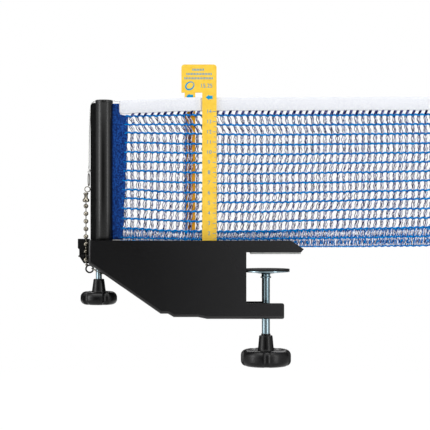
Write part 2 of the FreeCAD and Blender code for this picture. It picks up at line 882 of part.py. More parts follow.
# Chain and its fittings, hooked in the cleat's notch
def chain_profile(count):
    # One bead's half outline is cut into short straight facets.
    facets = 7
    bead = number("bead_dia / 2")
    wire = number("bead_link_dia / 2")
    start = math.asin(wire / bead)
    points = []
    for index in range(count):
        centre = number("bead_top") - index * number("bead_pitch")
        for step in range(facets + 1):
            angle = start + (math.pi - 2 * start) * step / facets
            points.append((bead * math.sin(angle), centre + bead * math.cos(angle)))
    return points


def spun(points, x):
    corners = [FreeCAD.Vector(0, 0, points[0][1])]
    corners += [FreeCAD.Vector(radius, 0, level) for radius, level in points]
    corners += [FreeCAD.Vector(0, 0, points[-1][1]), corners[0]]
    face = Part.Face(Part.makePolygon(corners))
    solid = face.revolve(FreeCAD.Vector(), FreeCAD.Vector(0, 0, 1), 360)
    solid.translate(FreeCAD.Vector(x, 0, 0))
    return solid


def chain_parts():
    chain_x = -number("chain_offset")
    wire = number("bead_link_dia / 2")
    seat = number("bead_top + bead_pitch / 2")
    low = number("chain_low - bead_pitch / 2")
    beads = [(wire, seat)] + chain_profile(int(number("bead_count"))) + [(wire, low)]
    keep(feature("BeadChain", spun(beads, chain_x)), "bead_chain")

    wide = number("connector_dia / 2")
    tall = number("connector_height")
    cup = [
        (wide * 0.6, seat),
        (wide, seat + tall * 0.12),
        (wide, seat + tall * 0.36),
        (wide * 0.5, seat + tall * 0.5),
        (wide * 0.5, seat + tall * 0.7),
        (wide * 0.75, seat + tall * 0.8),
        (wide * 0.75, seat + tall),
    ]
    keep(feature("ChainConnector", spun(cup, chain_x)), "chain_connector")

    ring_x = "(-chain_offset + hook_offset * -1) / 2"
    ring_level = "bead_top + bead_pitch / 2 + connector_height + clip_clear"
    ring_level += " + wire_dia / 2 + link_ring_dia / 2"
    ring = torus("LinkRing", "link_ring_dia / 2", "wire_dia / 2", (ring_x, "0", ring_level), "Y")
    keep(ring, "link_ring")

    hook_x = -number("hook_offset")
    hook_low = number(ring_level + " + link_ring_dia / 2 + wire_dia / 2 + clip_clear")
    hook_top = hook_low + number("hook_length")
    thin = number("wire_dia / 2")
    hook = [
        (thin * 1.8, hook_low),
        (thin * 2.2, hook_low + thin * 3),
        (thin, hook_low + thin * 6),
        (thin, hook_top - thin * 6),
        (thin * 2.2, hook_top - thin * 3),
        (thin * 1.8, hook_top),
    ]
    keep(feature("CordHook", spun(hook, hook_x)), "cord_hook")
    knot = number("knot_dia / 2")
    knot_low = hook_top + number("clip_clear")
    rise = number("knot_height")
    tied = [
        (knot * 0.5, knot_low),
        (knot, knot_low + rise * 0.3),
        (knot, knot_low + rise * 0.6),
        (knot * 0.5, knot_low + rise),
    ]
    keep(feature("CordKnot", spun(tied, hook_x)), "cord_knot")

    end_level = "chain_low - end_ring_drop"
    end_ring = torus(
        "EndRing", "end_ring_dia / 2", "wire_dia / 2", ("-end_ring_offset", "0", end_level), "Y"
    )
    keep(end_ring, "end_ring")
    ring_centre = FreeCAD.Vector(-number("end_ring_offset"), 0, number(end_level))
    start = FreeCAD.Vector(chain_x, 0, low - number("bead_link_dia / 2"))
    toward = ring_centre - start
    reach = toward.Length - number("end_ring_dia / 2 + wire_dia / 2 + clip_clear")
    tail = Part.makeCylinder(number("bead_link_dia"), reach, start, toward)
    keep(feature("ChainTail", tail), "chain_tail")
    loop = torus(
        "ScrewLoop", "loop_dia / 2", "loop_wire / 2",
        ("-loop_offset", "0", "chain_low - loop_drop"), "Z", number("loop_tilt"),
    )
    keep(loop, "screw_loop")
    return hook_x, knot_low + rise


# Net: it bows in front of the gauge's left leg and behind its right leg
def net_path():
    bow = number("gauge_bow")
    left = -number("gauge_left") + number("gauge_shoulder")
    slot_left = left + number("gauge_left_leg")
    slot_right = slot_left + number("gauge_slot")
    right = -number("gauge_left") + number("gauge_head_width")
    margin = number("gauge_thick") / 2
    return [
        (-number("post_offset"), 0.0),
        (-number("post_offset") + number("post_dia"), 0.0),
        (left - margin, -bow),
        (slot_left, -bow),
        (slot_right, bow),
        (right + margin, bow),
        (number("net_end"), 0.0),
    ]


def path_y(path, x):
    for (x0, y0), (x1, y1) in zip(path, path[1:]):
        if x0 <= x <= x1:
            return y0 + (y1 - y0) * (x - x0) / (x1 - x0)
    return path[0][1] if x < path[0][0] else path[-1][1]


def ribbon(path, start, end, thick, low, high):
    stations = [start] + [x for x, y in path if start < x < end] + [end]
    front = [FreeCAD.Vector(x, path_y(path, x) - thick / 2, low) for x in stations]
    back = [FreeCAD.Vector(x, path_y(path, x) + thick / 2, low) for x in reversed(stations)]
    face = Part.Face(Part.makePolygon(front + back + front[:1]))
    return face.extrude(FreeCAD.Vector(0, 0, high - low))


def curtain(points, holes=()):
    depth = number("bracket_width / 2")
    corners = [FreeCAD.Vector(x, -depth, z) for x, z in points]
    wires = [Part.makePolygon(corners + corners[:1])]
    for x0, z0, x1, z1 in holes:
        ring = [(x0, z0), (x1, z0), (x1, z1), (x0, z1), (x0, z0)]
        wires.append(Part.makePolygon([FreeCAD.Vector(x, -depth, z) for x, z in ring]))
    face = Part.makeFace(wires, "Part::FaceMakerBullseye")
    return face.extrude(FreeCAD.Vector(0, 2 * depth, 0))


def tape_top(x):
    start = -number("net_start")
    middle = -number("gauge_left")
    end = number("net_end")
    level = number("tape_start_top")
    rise = number("tape_rise")
    if x < middle:
        return level + rise * (x - start) / (middle - start)
    return level + rise + (number("tape_far_rise") - rise) * (x - middle) / (end - middle)


def sleeve_edge(z):
    top = -number("post_offset") + number("post_dia / 2") + number("sleeve_width")
    high = number("tape_start_bottom")
    low = number("sleeve_bottom")
    return top - number("sleeve_taper") * (high - z) / (high - low)


def net_parts():
    path = net_path()
    start = -number("net_start")
    middle = -number("gauge_left")
    end = number("net_end")
    bottom = number("net_bottom")
    height = number("tape_height")
    roof = number("gauge_head_top")

    def under(x):
        return tape_top(x) - height

    tape_band = ribbon(path, start, end, number("tape_thick"), bottom, roof)
    tape_shape = curtain([
        (start, under(start)),
        (middle, under(middle)),
        (end, under(end)),
        (end, tape_top(end)),
        (middle, tape_top(middle)),
        (start, tape_top(start)),
    ])
    keep(feature("NetTape", tape_band.common(tape_shape)), "net_tape")

    hem_start = end - number("hem_width")
    low_x = sleeve_edge(bottom)
    first = sleeve_edge(under(start)) + number("net_strand")
    last = hem_start - number("net_strand")
    rows = int(number("net_rows"))
    columns = int(number("net_columns"))
    width = (last - first) / columns
    pitch = number("net_row_pitch")
    cord = number("net_cord")
    strand = number("net_strand")
    holes = []
    for row in range(rows):
        for column in range(columns):
            x0 = first + column * width
            z0 = bottom + cord + row * pitch
            holes.append((x0, z0, x0 + width - strand, z0 + pitch - cord))
    top_x = sleeve_edge(under(start))
    sleeve_low = number("sleeve_bottom")
    mesh_shape = curtain([
        (low_x, bottom),
        (hem_start, bottom),
        (hem_start, under(hem_start)),
        (middle, under(middle)),
        (top_x, under(top_x)),
        (sleeve_edge(sleeve_low), sleeve_low),
    ], holes)
    band = ribbon(path, low_x - 1, hem_start, number("net_thick"), bottom, roof)
    keep(feature("NetMesh", band.common(mesh_shape)), "net_mesh")

    hem_band = ribbon(path, hem_start, end, number("sleeve_thick"), bottom, roof)
    hem_shape = curtain([
        (hem_start, bottom), (end, bottom), (end, under(end)), (hem_start, under(hem_start)),
    ])
    keep(feature("FarHem", hem_band.common(hem_shape)), "far_hem")

    axis = -number("post_offset")
    outside = axis + number("post_dia / 2")
    gap = number("sleeve_gap")
    bulb_low = number("tube_bottom + foot_plug") + gap
    bulb_high = number("post_top - cap_plug") - gap
    band = ribbon(path, axis, top_x, number("sleeve_thick"), sleeve_low, roof)
    cloth = curtain([
        (axis, bulb_low),
        (outside, bulb_low),
        (outside, sleeve_low),
        (sleeve_edge(sleeve_low), sleeve_low),
        (top_x, under(top_x)),
        (start, under(start)),
        (start, number("sleeve_top")),
        (outside, number("sleeve_top")),
        (outside, bulb_high),
        (axis, bulb_high),
    ])
    foot = FreeCAD.Vector(axis, 0, bulb_low)
    tall = bulb_high - bulb_low
    bulb = Part.makeCylinder(number("sleeve_bulb_dia / 2"), tall, foot)
    rod_radius = number("sleeve_rod_dia / 2")
    sleeve = bulb.fuse(band.common(cloth)).cut(Part.makeCylinder(rod_radius, tall, foot))
    keep(feature("NetSleeve", sleeve.removeSplitter()), "net_sleeve")
    keep(feature("SleeveRod", Part.makeCylinder(rod_radius, tall, foot)), "sleeve_rod")


# Cord from the tape over the cap and down to the knot
CORD_SHARE = 0.45


def cord_tube(points, diameter):
    edges = []
    here = points[0]
    radii = []
    for index in range(1, len(points) - 1):
        before = points[index] - points[index - 1]
        after = points[index + 1] - points[index]
        turn = before.getAngle(after)
        shorter = min(before.Length, after.Length)
        trim = CORD_SHARE * shorter
        radius = trim / math.tan(turn / 2)
        radii.append(round(radius, 1))
        start = points[index] - before.normalize() * trim
        end = points[index] + after.normalize() * trim
        inward = (start + end) * 0.5 - points[index]
        reach = radius / math.cos(turn / 2) - radius
        middle = points[index] + inward.normalize() * reach
        edges.append(Part.LineSegment(here, start).toShape())
        edges.append(Part.Arc(start, middle, end).toShape())
        here = end
    edges.append(Part.LineSegment(here, points[-1]).toShape())
    wire = Part.Wire(edges)
    direction = points[1] - points[0]
    ring = Part.Wire(Part.makeCircle(diameter / 2, points[0], direction))
    tube = wire.makePipeShell([ring], True, False)
    ideal = math.pi * diameter ** 2 / 4 * wire.Length
    print("cord radii", radii, "volume ratio", round(tube.Volume / ideal, 4))
    return tube


def cord_part(hook_x, knot_top):
    diameter = number("cord_dia")
    track = number("cap_top - cord_groove_depth") + diameter / 2 + 2 * number("clip_clear")
    cap_left = -number("post_offset + post_dia / 2")
    rib_left = -number("post_offset + rib_reach")
    start_x = -number("net_start")
    start_y = path_y(net_path(), start_x)
    clear = number("clip_clear")
    cord_level = number("tape_start_top") - diameter / 2 - 2 * clear
    shoulder = number("post_top - rib_round")
    points = [
        FreeCAD.Vector(start_x - 2 * clear, start_y, cord_level),
        FreeCAD.Vector(start_x - number("cord_run"), start_y * 0.5, track + 0.2),
        FreeCAD.Vector(cap_left + number("cord_entry"), 0, track + 0.4),
        FreeCAD.Vector(cap_left - 1.0, 0, track + 0.2),
        FreeCAD.Vector(rib_left - 1.6, 0, shoulder + 1.4),
        FreeCAD.Vector(hook_x, 0, knot_top + number("cord_slack")),
    ]
    keep(feature("TensionCord", cord_tube(points, diameter)), "tension_cord")


def gauge_part():
    body = new_body("HeightGauge")
    face = new_sketch(body, "GaugeFace", "XZ_Plane", "gauge_thick / 2")
    left = "-gauge_left"
    right = "-gauge_left + gauge_head_width"
    leg_left = "-gauge_left + gauge_shoulder"
    slot_left = leg_left + " + gauge_left_leg"
    slot_right = slot_left + " + gauge_slot"
    foot = "web_top + thread_clear"
    outline(face, [
        (left, "gauge_head_top"),
        (left, "gauge_slot_top"),
        (leg_left, "gauge_slot_top"),
        (leg_left, foot),
        (slot_left, foot),
        (slot_left, "gauge_slot_top"),
        (slot_right, "gauge_slot_top"),
        (slot_right, foot),
        (right, foot),
        (right, "gauge_head_top"),
    ])
    plate = pad(body, "GaugePad", face, "gauge_thick", True)
    top = number("gauge_head_top")

    def head_corner(edge):
        ends = edge.Vertexes
        across = abs(ends[0].Y - ends[-1].Y) > 0.1
        return across and all(abs(v.Z - top) < 0.01 for v in ends)

    round_edges(body, "GaugeCorners", plate, "gauge_corner", head_corner)
    keep(body, "height_gauge")


def build():
    fill_sheet()
    front_plate()
    rear_plate()
    jaw_parts()
    guide_parts()
    height_nut_parts()
    cleat_parts()
    pressure_parts()
    clamp_screw_parts()
    bore = "clamp_screw_dia / 2"
    rise = "-clamp_hub_top + clamp_collar_rise"
    wide = "clamp_collar_dia / 2"
    collar = [(bore, rise), (wide, rise), (wide, "-clamp_hub_top")]
    knob("clamp_knob", "ClampKnob", "0", "clamp", bore, collar)
    post_parts()
    height_screw_parts()
    x = "-height_screw_offset"
    knob("height_knob", "HeightKnob", x, "height", "height_screw_dia / 2")
    hook_x, knot_top = chain_parts()
    net_parts()
    cord_part(hook_x, knot_top)
    gauge_part()
    doc.recompute()


def check():
    for item in doc.Objects:
        if "Invalid" in item.State or "Error" in item.State:
            raise RuntimeError("failed object: " + item.Label)
    for item in nodes:
        shape = item.Shape
        if shape.isNull() or not shape.isValid() or not shape.Solids:
            raise RuntimeError("bad shape: " + item.Label)


def export():
    for item in nodes:
        item.Shape.exportStep("parts/%s.step" % item.Label)
        count = len(item.Shape.Solids)
        print(item.Label, count, round(item.Shape.Volume, 1))


build()
check()
export()
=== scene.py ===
import math
import random

import bpy
import numpy as np
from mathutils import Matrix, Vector


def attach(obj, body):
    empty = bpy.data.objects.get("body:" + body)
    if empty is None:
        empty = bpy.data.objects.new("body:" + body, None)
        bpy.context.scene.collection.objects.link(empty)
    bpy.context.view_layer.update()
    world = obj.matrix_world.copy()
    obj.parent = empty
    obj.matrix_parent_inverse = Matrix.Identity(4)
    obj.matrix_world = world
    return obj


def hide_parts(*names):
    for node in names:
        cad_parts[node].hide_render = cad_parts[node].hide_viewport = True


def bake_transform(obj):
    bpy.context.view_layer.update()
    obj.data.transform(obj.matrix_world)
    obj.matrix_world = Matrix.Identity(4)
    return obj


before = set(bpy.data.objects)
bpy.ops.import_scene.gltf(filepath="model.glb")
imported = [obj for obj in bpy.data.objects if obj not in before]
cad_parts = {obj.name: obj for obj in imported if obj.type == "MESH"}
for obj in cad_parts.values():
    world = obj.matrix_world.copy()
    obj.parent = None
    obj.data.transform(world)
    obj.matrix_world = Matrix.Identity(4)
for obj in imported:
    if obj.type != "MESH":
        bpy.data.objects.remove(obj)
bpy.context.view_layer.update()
MM = 0.001


# Node trees and materials
class Nodes:
    def __init__(self, tree):
        self.tree = tree

    def node(self, kind, **settings):
        item = self.tree.nodes.new(kind)
        for key, value in settings.items():
            setattr(item, key, value)
        return item

    def link(self, source, target):
        self.tree.links.new(source, target)

    def math(self, operation, a, b=None):
        item = self.node("ShaderNodeMath", operation=operation)
        for index, value in enumerate((a, b)):
            if value is None:
                continue
            if isinstance(value, (int, float)):
                item.inputs[index].default_value = value
            else:
                self.link(value, item.inputs[index])
        return item.outputs[0]

    def ramp(self, factor, stops, interpolation="LINEAR"):
        # stops: place and colour of each mark
        item = self.node("ShaderNodeValToRGB")
        item.color_ramp.interpolation = interpolation
        marks = item.color_ramp.elements
        while len(marks) < len(stops):
            marks.new(0.5)
        for mark, (place, colour) in zip(marks, stops):
            mark.position = place
            mark.color = (*colour, 1)
        self.link(factor, item.inputs["Fac"])
        return item.outputs["Color"]

    def ranged(self, value, low, high, start=0.0, end=1.0):
        # A value from start to end becomes one from low to high
        item = self.node("ShaderNodeMapRange")
        limits = {"From Min": start, "From Max": end, "To Min": low, "To Max": high}
        for name, limit in limits.items():
            item.inputs[name].default_value = limit
        self.link(value, item.inputs["Value"])
        return item.outputs[0]


class Look(Nodes):
    # Sizes and depths are in millimetres
    def __init__(self, name, **values):
        self.material = bpy.data.materials.new(name)
        self.material.use_nodes = True
        super().__init__(self.material.node_tree)
        self.shader = self.tree.nodes["Principled BSDF"]
        for socket, value in values.items():
            self.shader.inputs[socket.replace("_", " ")].default_value = value
        self.coords = self.node("ShaderNodeTexCoord").outputs["Object"]

    def noise(self, size, detail=3.0, stretch=(1, 1, 1)):
        scaled = self.node("ShaderNodeVectorMath", operation="MULTIPLY")
        self.link(self.coords, scaled.inputs[0])
        scaled.inputs[1].default_value = stretch
        item = self.node("ShaderNodeTexNoise")
        item.inputs["Scale"].default_value = 1 / (size * MM)
        item.inputs["Detail"].default_value = detail
        self.link(scaled.outputs[0], item.inputs["Vector"])
        return item.outputs["Fac"]

    def axis(self, letter):
        item = self.node("ShaderNodeSeparateXYZ")
        self.link(self.coords, item.inputs[0])
        return item.outputs[letter]

    def wave(self, letter, pitch):
        return self.math("SINE", self.math("MULTIPLY", self.axis(letter), math.tau / (pitch * MM)))

    def weave(self, across, up, pitch):
        crossed = self.math("MULTIPLY", self.wave(across, pitch), self.wave(up, pitch))
        return self.math("ADD", self.math("MULTIPLY", crossed, 0.5), 0.5)

    def colour(self, factor, stops):
        self.link(self.ramp(factor, stops), self.shader.inputs["Base Color"])

    def rough(self, factor, low, high):
        self.link(self.ranged(factor, low, high), self.shader.inputs["Roughness"])

    def bump(self, height, depth, strength=1.0):
        item = self.node("ShaderNodeBump")
        item.inputs["Strength"].default_value = strength
        item.inputs["Distance"].default_value = depth * MM
        self.link(height, item.inputs["Height"])
        self.link(item.outputs[0], self.shader.inputs["Normal"])


def srgb(red, green, blue):
    def one(value):
        value /= 255
        return value / 12.92 if value <= 0.04045 else ((value + 0.055) / 1.055) ** 2.4
    return one(red), one(green), one(blue)


def plastic(name, dark, light, grain, depth, low, high, gloss):
    look = Look(name, Specular_IOR_Level=gloss)
    fine = look.noise(grain)
    look.colour(look.noise(grain * 12), [(0.3, dark), (0.7, light)])
    look.rough(fine, low, high)
    look.bump(fine, depth)
    return look.material


def metal(name, dark, light, low, high, stretch, depth):
    look = Look(name, Metallic=1.0)
    streak = look.noise(0.6, 4.0, stretch)
    look.colour(look.noise(5.0, 4.0, stretch), [(0.3, dark), (0.7, light)])
    look.rough(streak, low, high)
    look.bump(streak, depth, 0.6)
    return look.material


def fabric(name, dark, middle, light, pitch, depth, mottle):
    look = Look(name, Sheen_Weight=0.03, Sheen_Roughness=0.5, Specular_IOR_Level=0.1)
    weave = look.weave("X", "Z", pitch)
    cloud = look.noise(mottle, 2.0)
    look.colour(cloud, [(0.38, dark), (0.5, middle), (0.62, light)])
    look.rough(cloud, 0.75, 0.95)
    look.bump(look.math("ADD", weave, look.math("MULTIPLY", cloud, 0.6)), depth)
    return look.material


def yarn(name, dark, middle, light, patch):
    look = Look(name, Specular_IOR_Level=0.05)
    fibre = look.noise(0.35, 4.0, (1, 1, 0.4))
    look.colour(look.noise(patch, 2.0), [(0.38, dark), (0.5, middle), (0.62, light)])
    look.rough(fibre, 0.6, 0.9)
    look.bump(fibre, 0.12)
    return look.material


def gauge_plastic():
    look = Look("gauge_yellow", Specular_IOR_Level=0.2)
    grain = look.noise(0.4)
    front = look.ramp(look.noise(5.0), [(0.3, srgb(240, 196, 62)), (0.7, srgb(249, 208, 80))])
    # The leg behind the net is painted a deeper, orange yellow below the band: painted shade from
    # the net in front of it
    left = look.math("LESS_THAN", look.axis("X"), -0.066)
    net_shade_mask = look.math("MULTIPLY", left, look.math("LESS_THAN", look.axis("Z"), 0.1405))
    # Inputs 6 and 7 and output 2 of this node are its colours
    mixer = look.node("ShaderNodeMix", data_type="RGBA")
    look.link(net_shade_mask, mixer.inputs[0])
    look.link(front, mixer.inputs[6])
    # Painted shade: the orange yellow of the leg behind the net
    mixer.inputs[7].default_value = (*srgb(232, 162, 28), 1)
    look.link(mixer.outputs[2], look.shader.inputs["Base Color"])
    look.rough(grain, 0.4, 0.58)
    look.bump(grain, 0.03)
    return look.material


def steel_coat():
    # The coat is painted lighter towards the nose of the jaw and towards the top: painted light;
    # the noise is the coat's own uneven tone
    look = Look("black_steel", Specular_IOR_Level=0.45)
    # Painted light: lighter along X towards the nose and along Z towards the top
    across = look.math("MULTIPLY", look.axis("X"), 5.5)
    place = look.math("ADD", across, look.math("MULTIPLY", look.axis("Z"), 2.5))
    cloud = look.math("MULTIPLY", look.noise(5.4), 0.08)
    grey = look.math("ADD", look.math("ADD", place, 0.64), cloud)
    look.colour(grey, [(0.0, srgb(12, 12, 13)), (1.0, srgb(40, 40, 41))])
    fine = look.noise(0.45)
    look.rough(fine, 0.22, 0.3)
    look.bump(fine, 0.01)
    return look.material


def cap_plastic():
    # A painted shade line under the cap's upper flange, and a painted highlight along the lower rim
    look = Look("cap_black", Specular_IOR_Level=0.45)
    place = look.math("MULTIPLY", look.math("ADD", look.axis("Z"), -0.146), 1 / 0.006)
    # The darkest tone is painted shade under the flange, and the pale grey is a painted highlight
    # on the rim
    dark, plain, painted_highlight_grey = srgb(2, 2, 2), srgb(14, 14, 14), srgb(84, 84, 84)
    look.colour(place, [
        (0.2, plain), (0.24, painted_highlight_grey), (0.3, painted_highlight_grey), (0.34, plain),
        (0.6, plain), (0.64, dark), (0.72, dark), (0.76, plain),
    ])
    look.rough(look.noise(0.5), 0.3, 0.42)
    return look.material


EVEN = (1, 1, 1)
# Plastic: dark and light tone, grain (mm), depth of bump (mm), lowest and highest roughness, gloss
PLASTICS = {
    "post_black": ((4, 4, 4), (8, 8, 8), 0.7, 0.012, 0.24, 0.32, 0.42),
    "knob_black": ((5, 5, 6), (9, 9, 10), 0.3, 0.015, 0.24, 0.34, 0.26),
    "guide_black": ((12, 12, 13), (18, 18, 19), 0.5, 0.02, 0.35, 0.5, 0.35),
    "ring_black": ((5, 5, 5), (9, 9, 9), 0.3, 0.01, 0.3, 0.45, 0.3),
    "pad_grey": ((176, 178, 176), (206, 207, 204), 0.5, 0.04, 0.7, 0.9, 0.2),
    "pad_black": ((16, 16, 17), (24, 24, 25), 0.4, 0.05, 0.6, 0.8, 0.2),
    "rod_grey": ((120, 122, 124), (140, 142, 144), 0.6, 0.02, 0.4, 0.6, 0.4),
    "print_blue": ((0, 140, 190), (0, 156, 206), 0.4, 0.01, 0.45, 0.6, 0.2),
    "wire_dark": ((34, 30, 22), (84, 76, 58), 0.3, 0.01, 0.25, 0.4, 0.5),
}
# Metal: dark and light tone, lowest and highest roughness, stretch of the streaks, depth (mm)
METALS = {
    "zinc": ((104, 124, 132), (150, 170, 178), 0.07, 0.13, (1, 1, 0.12), 0.001),
    "chain_nickel": ((88, 84, 76), (160, 154, 141), 0.04, 0.08, EVEN, 0.001),
}
# Cloth: dark, middle and light tone, pitch of the weave, depth and size of the mottle (mm)
FABRICS = {
    "sleeve_navy": ((9, 34, 88), (18, 55, 122), (30, 82, 164), 1.1, 0.12, 1.2),
    "tape_white": ((225, 227, 234), (231, 233, 239), (237, 239, 243), 0.8, 0.1, 0.9),
}
# Yarn: dark, middle and light tone, size of the lighter and darker stretches along it (mm)
YARNS = {
    "cord_white": ((240, 240, 237), (246, 246, 244), (252, 252, 250), 1.0),
    "net_blue": ((0, 80, 156), (0, 110, 188), (0, 142, 218), 1.4),
    "strand_navy": ((4, 6, 44), (22, 28, 88), (104, 110, 158), 2.6),
    "strand_light": ((182, 184, 204), (216, 217, 228), (240, 240, 244), 1.6),
    "strand_grey": ((20, 22, 56), (88, 92, 132), (194, 196, 212), 2.0),
}
LOOKS = {
    "black_steel": steel_coat(), "cap_black": cap_plastic(), "gauge_yellow": gauge_plastic(),
}
for kind, tones, rows in (
    (plastic, 2, PLASTICS), (metal, 2, METALS), (fabric, 3, FABRICS), (yarn, 3, YARNS),
):
    for name, values in rows.items():
        colours = [srgb(*tone) for tone in values[:tones]]
        LOOKS[name] = kind(name, *colours, *values[tones:])


# Objects and meshes
def new_object(name, data):
    item = bpy.data.objects.new(name, data)
    bpy.context.scene.collection.objects.link(item)
    return item


class Shape:
    def __init__(self):
        self.points = []
        self.faces = []
        self.slots = []

    def add(self, points, faces, slot=0):
        base = len(self.points)
        self.points.extend(points)
        self.faces.extend([[base + i for i in face] for face in faces])
        self.slots.extend([slot] * len(faces))

    def rings(self, rings, slot=0, closed=False):
        # Rings of equal length, joined one to the next, with an end face at each open end
        count = len(rings[0])
        faces = []
        total = len(rings)
        for r in range(total if closed else total - 1):
            a = r * count
            b = (r + 1) % total * count
            for i in range(count):
                j = (i + 1) % count
                faces.append((a + i, a + j, b + j, b + i))
        if not closed:
            faces.append(tuple(reversed(range(count))))
            faces.append(tuple(range((total - 1) * count, total * count)))
        self.add([tuple(p) for ring in rings for p in ring], faces, slot)

    def tube(self, line, radius, sides=8, slot=0, closed=False, ply=0.0, lay=6.0):
        # ply: how far the outline departs from round, for a twisted cord; lay: length of one twist
        line = np.array(line, dtype=float)
        count = len(line)
        if closed:
            ahead = np.roll(line, -1, 0) - np.roll(line, 1, 0)
        else:
            ahead = np.gradient(line, axis=0)
        ahead /= np.linalg.norm(ahead, axis=1)[:, None]
        side = np.cross(ahead[0], (0.0, 1.0, 0.03))
        side /= np.linalg.norm(side)
        run = 0.0
        rings = []
        for i in range(count):
            side = side - ahead[i] * side.dot(ahead[i])
            side /= np.linalg.norm(side)
            other = np.cross(ahead[i], side)
            if i:
                run += np.linalg.norm(line[i] - line[i - 1])
            ring = []
            for s in range(sides):
                angle = math.tau * s / sides
                wide = radius * (1 + ply * math.cos(2 * (angle - math.tau * run / lay)))
                ring.append(line[i] + wide * (math.cos(angle) * side + math.sin(angle) * other))
            rings.append(ring)
        self.rings(rings, slot, closed)

    def lathe(self, profile, x=0.0, sides=48, dip=None, turn=0.0):
        # profile: radius and level of each ring, and how much of the dip it takes, if any
        rings = []
        for radius, level, *share in profile:
            ring = []
            for s in range(sides):
                angle = math.tau * s / sides
                reach = radius - (share[0] * dip(angle - turn) if share else 0.0)
                ring.append((x + reach * math.cos(angle), reach * math.sin(angle), level))
            rings.append(ring)
        # Rings that go up give faces that look outward
        if profile[0][1] > profile[-1][1]:
            rings.reverse()
        self.rings(rings)

    def make(self, name, looks, body, replaced=()):
        mesh = bpy.data.meshes.new(name)
        mesh.from_pydata([(x * MM, y * MM, z * MM) for x, y, z in self.points], [], self.faces)
        for look in looks:
            mesh.materials.append(LOOKS[look])
        mesh.polygons.foreach_set("material_index", self.slots)
        mesh.polygons.foreach_set("use_smooth", [True] * len(mesh.polygons))
        mesh.update()
        item = new_object(name, mesh)
        if body:
            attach(item, body)
        if replaced:
            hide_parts(*replaced)
        return item


def sharp(item, degrees):
    # Smooth shading with crisp edges where faces meet at more than this angle
    bpy.context.view_layer.objects.active = item
    for other in bpy.context.selected_objects:
        other.select_set(False)
    item.select_set(True)
    bpy.ops.object.shade_smooth_by_angle(angle=math.radians(degrees))
    item.select_set(False)


def apply_modifiers(item):
    graph = bpy.context.evaluated_depsgraph_get()
    done = bpy.data.meshes.new_from_object(item.evaluated_get(graph))
    item.modifiers.clear()
    item.data = done


def smooth_step(value):
    # From 0 to 1 with soft ends
    value = min(1.0, max(0.0, value))
    return value * value * (3 - 2 * value)


def along(table, x):
    # The value at x in a table of (x, value), straight between its rows
    for (x0, y0), (x1, y1) in zip(table, table[1:]):
        if x <= x1:
            share = max(0.0, (x - x0) / (x1 - x0))
            return y0 + (y1 - y0) * share
    return table[-1][1]


def loop(count, place):
    # Points of a closed line; place gives the one at an angle
    return [place(math.tau * step / count) for step in range(count)]


# Places that the source gives, in millimetres
POST_X = -159.3
SCREW_X = -164.5
BEAD_X = -177.2
LINK_X = -174.4
TAPE_START = -144.4
TAPE_HEIGHT = 13.9
HEM_START = 163.0
NET_END = 172.0
TAPE_TOP = [(TAPE_START, 151.0), (-110.0, 152.4), (-82.0, 153.7), (-45.0, 154.4), (NET_END, 154.9)]
# The net's line seen from above: it steps to the front of one leg of the gauge and behind the other
NET_LINE = [
    (POST_X, 0), (-142.3, 0), (-81.0, -2.4), (-69.5, -2.4), (-62.7, 2.4), (-47.5, 2.4),
    (NET_END, 0),
]


def net_y(x):
    return sum(along(NET_LINE, x + step) for step in (-1.2, -0.6, 0.0, 0.6, 1.2)) / 5


def sleeve_x(z):
    # Where the sleeve's visible part ends at a height
    return -135.3 - 5.7 * (137.1 - z) / (137.1 - 13.6)


# Camera, lamps and surroundings
# Brightness that mirrors see at each bearing from the front, as a share of the brightest panel
ROUND_ABOUT = [
    (-180, 0.03), (-122, 0.03), (-100, 0.3), (-78, 0.8), (-58, 1.0), (-42, 0.85), (-26, 0.05),
    (-8, 0.01), (2, 0.04), (14, 0.3), (32, 0.42), (63, 0.55), (95, 0.3), (120, 0.04), (180, 0.03),
]
PANEL_PEAK = 1.9
# A small raised panel in front, which only rounded parts mirror: height and brightness
RAISED = ((0.32, 0), (0.4, 1), (0.6, 1), (0.68, 0))
RAISED_PEAK = 1.5
FILL = 0.42


def camera():
    lens = bpy.data.cameras.new("camera")
    lens.angle = math.radians(18.41)
    item = new_object("camera", lens)
    item.location = (-0.0501, -1.307, 0.0382)
    item.rotation_euler = (math.radians(90), 0, 0)
    bpy.context.scene.camera = item


def lamp(name, place, size, power, target=(-0.06, 0, 0.04)):
    light = bpy.data.lights.new(name, "AREA")
    light.shape = "RECTANGLE"
    light.size, light.size_y = size
    light.energy = power
    item = new_object(name, light)
    item.location = place
    aim = Vector(target) - Vector(place)
    item.rotation_euler = aim.to_track_quat("-Z", "Y").to_euler()


def lamps():
    lamp("left_strip", (-1.22, -0.57, 0.12), (0.3, 1.3), 6, (-0.159, 0, 0.06))
    lamp("right_strip", (0.78, -0.77, 0.12), (0.3, 1.3), 5, (-0.159, 0, 0.06))
    lamp("overhead", (-0.05, -0.5, 1.4), (1.6, 1.2), 15)
    lamp("rear_fill", (0.1, 1.1, 0.9), (1.2, 0.9), 8)


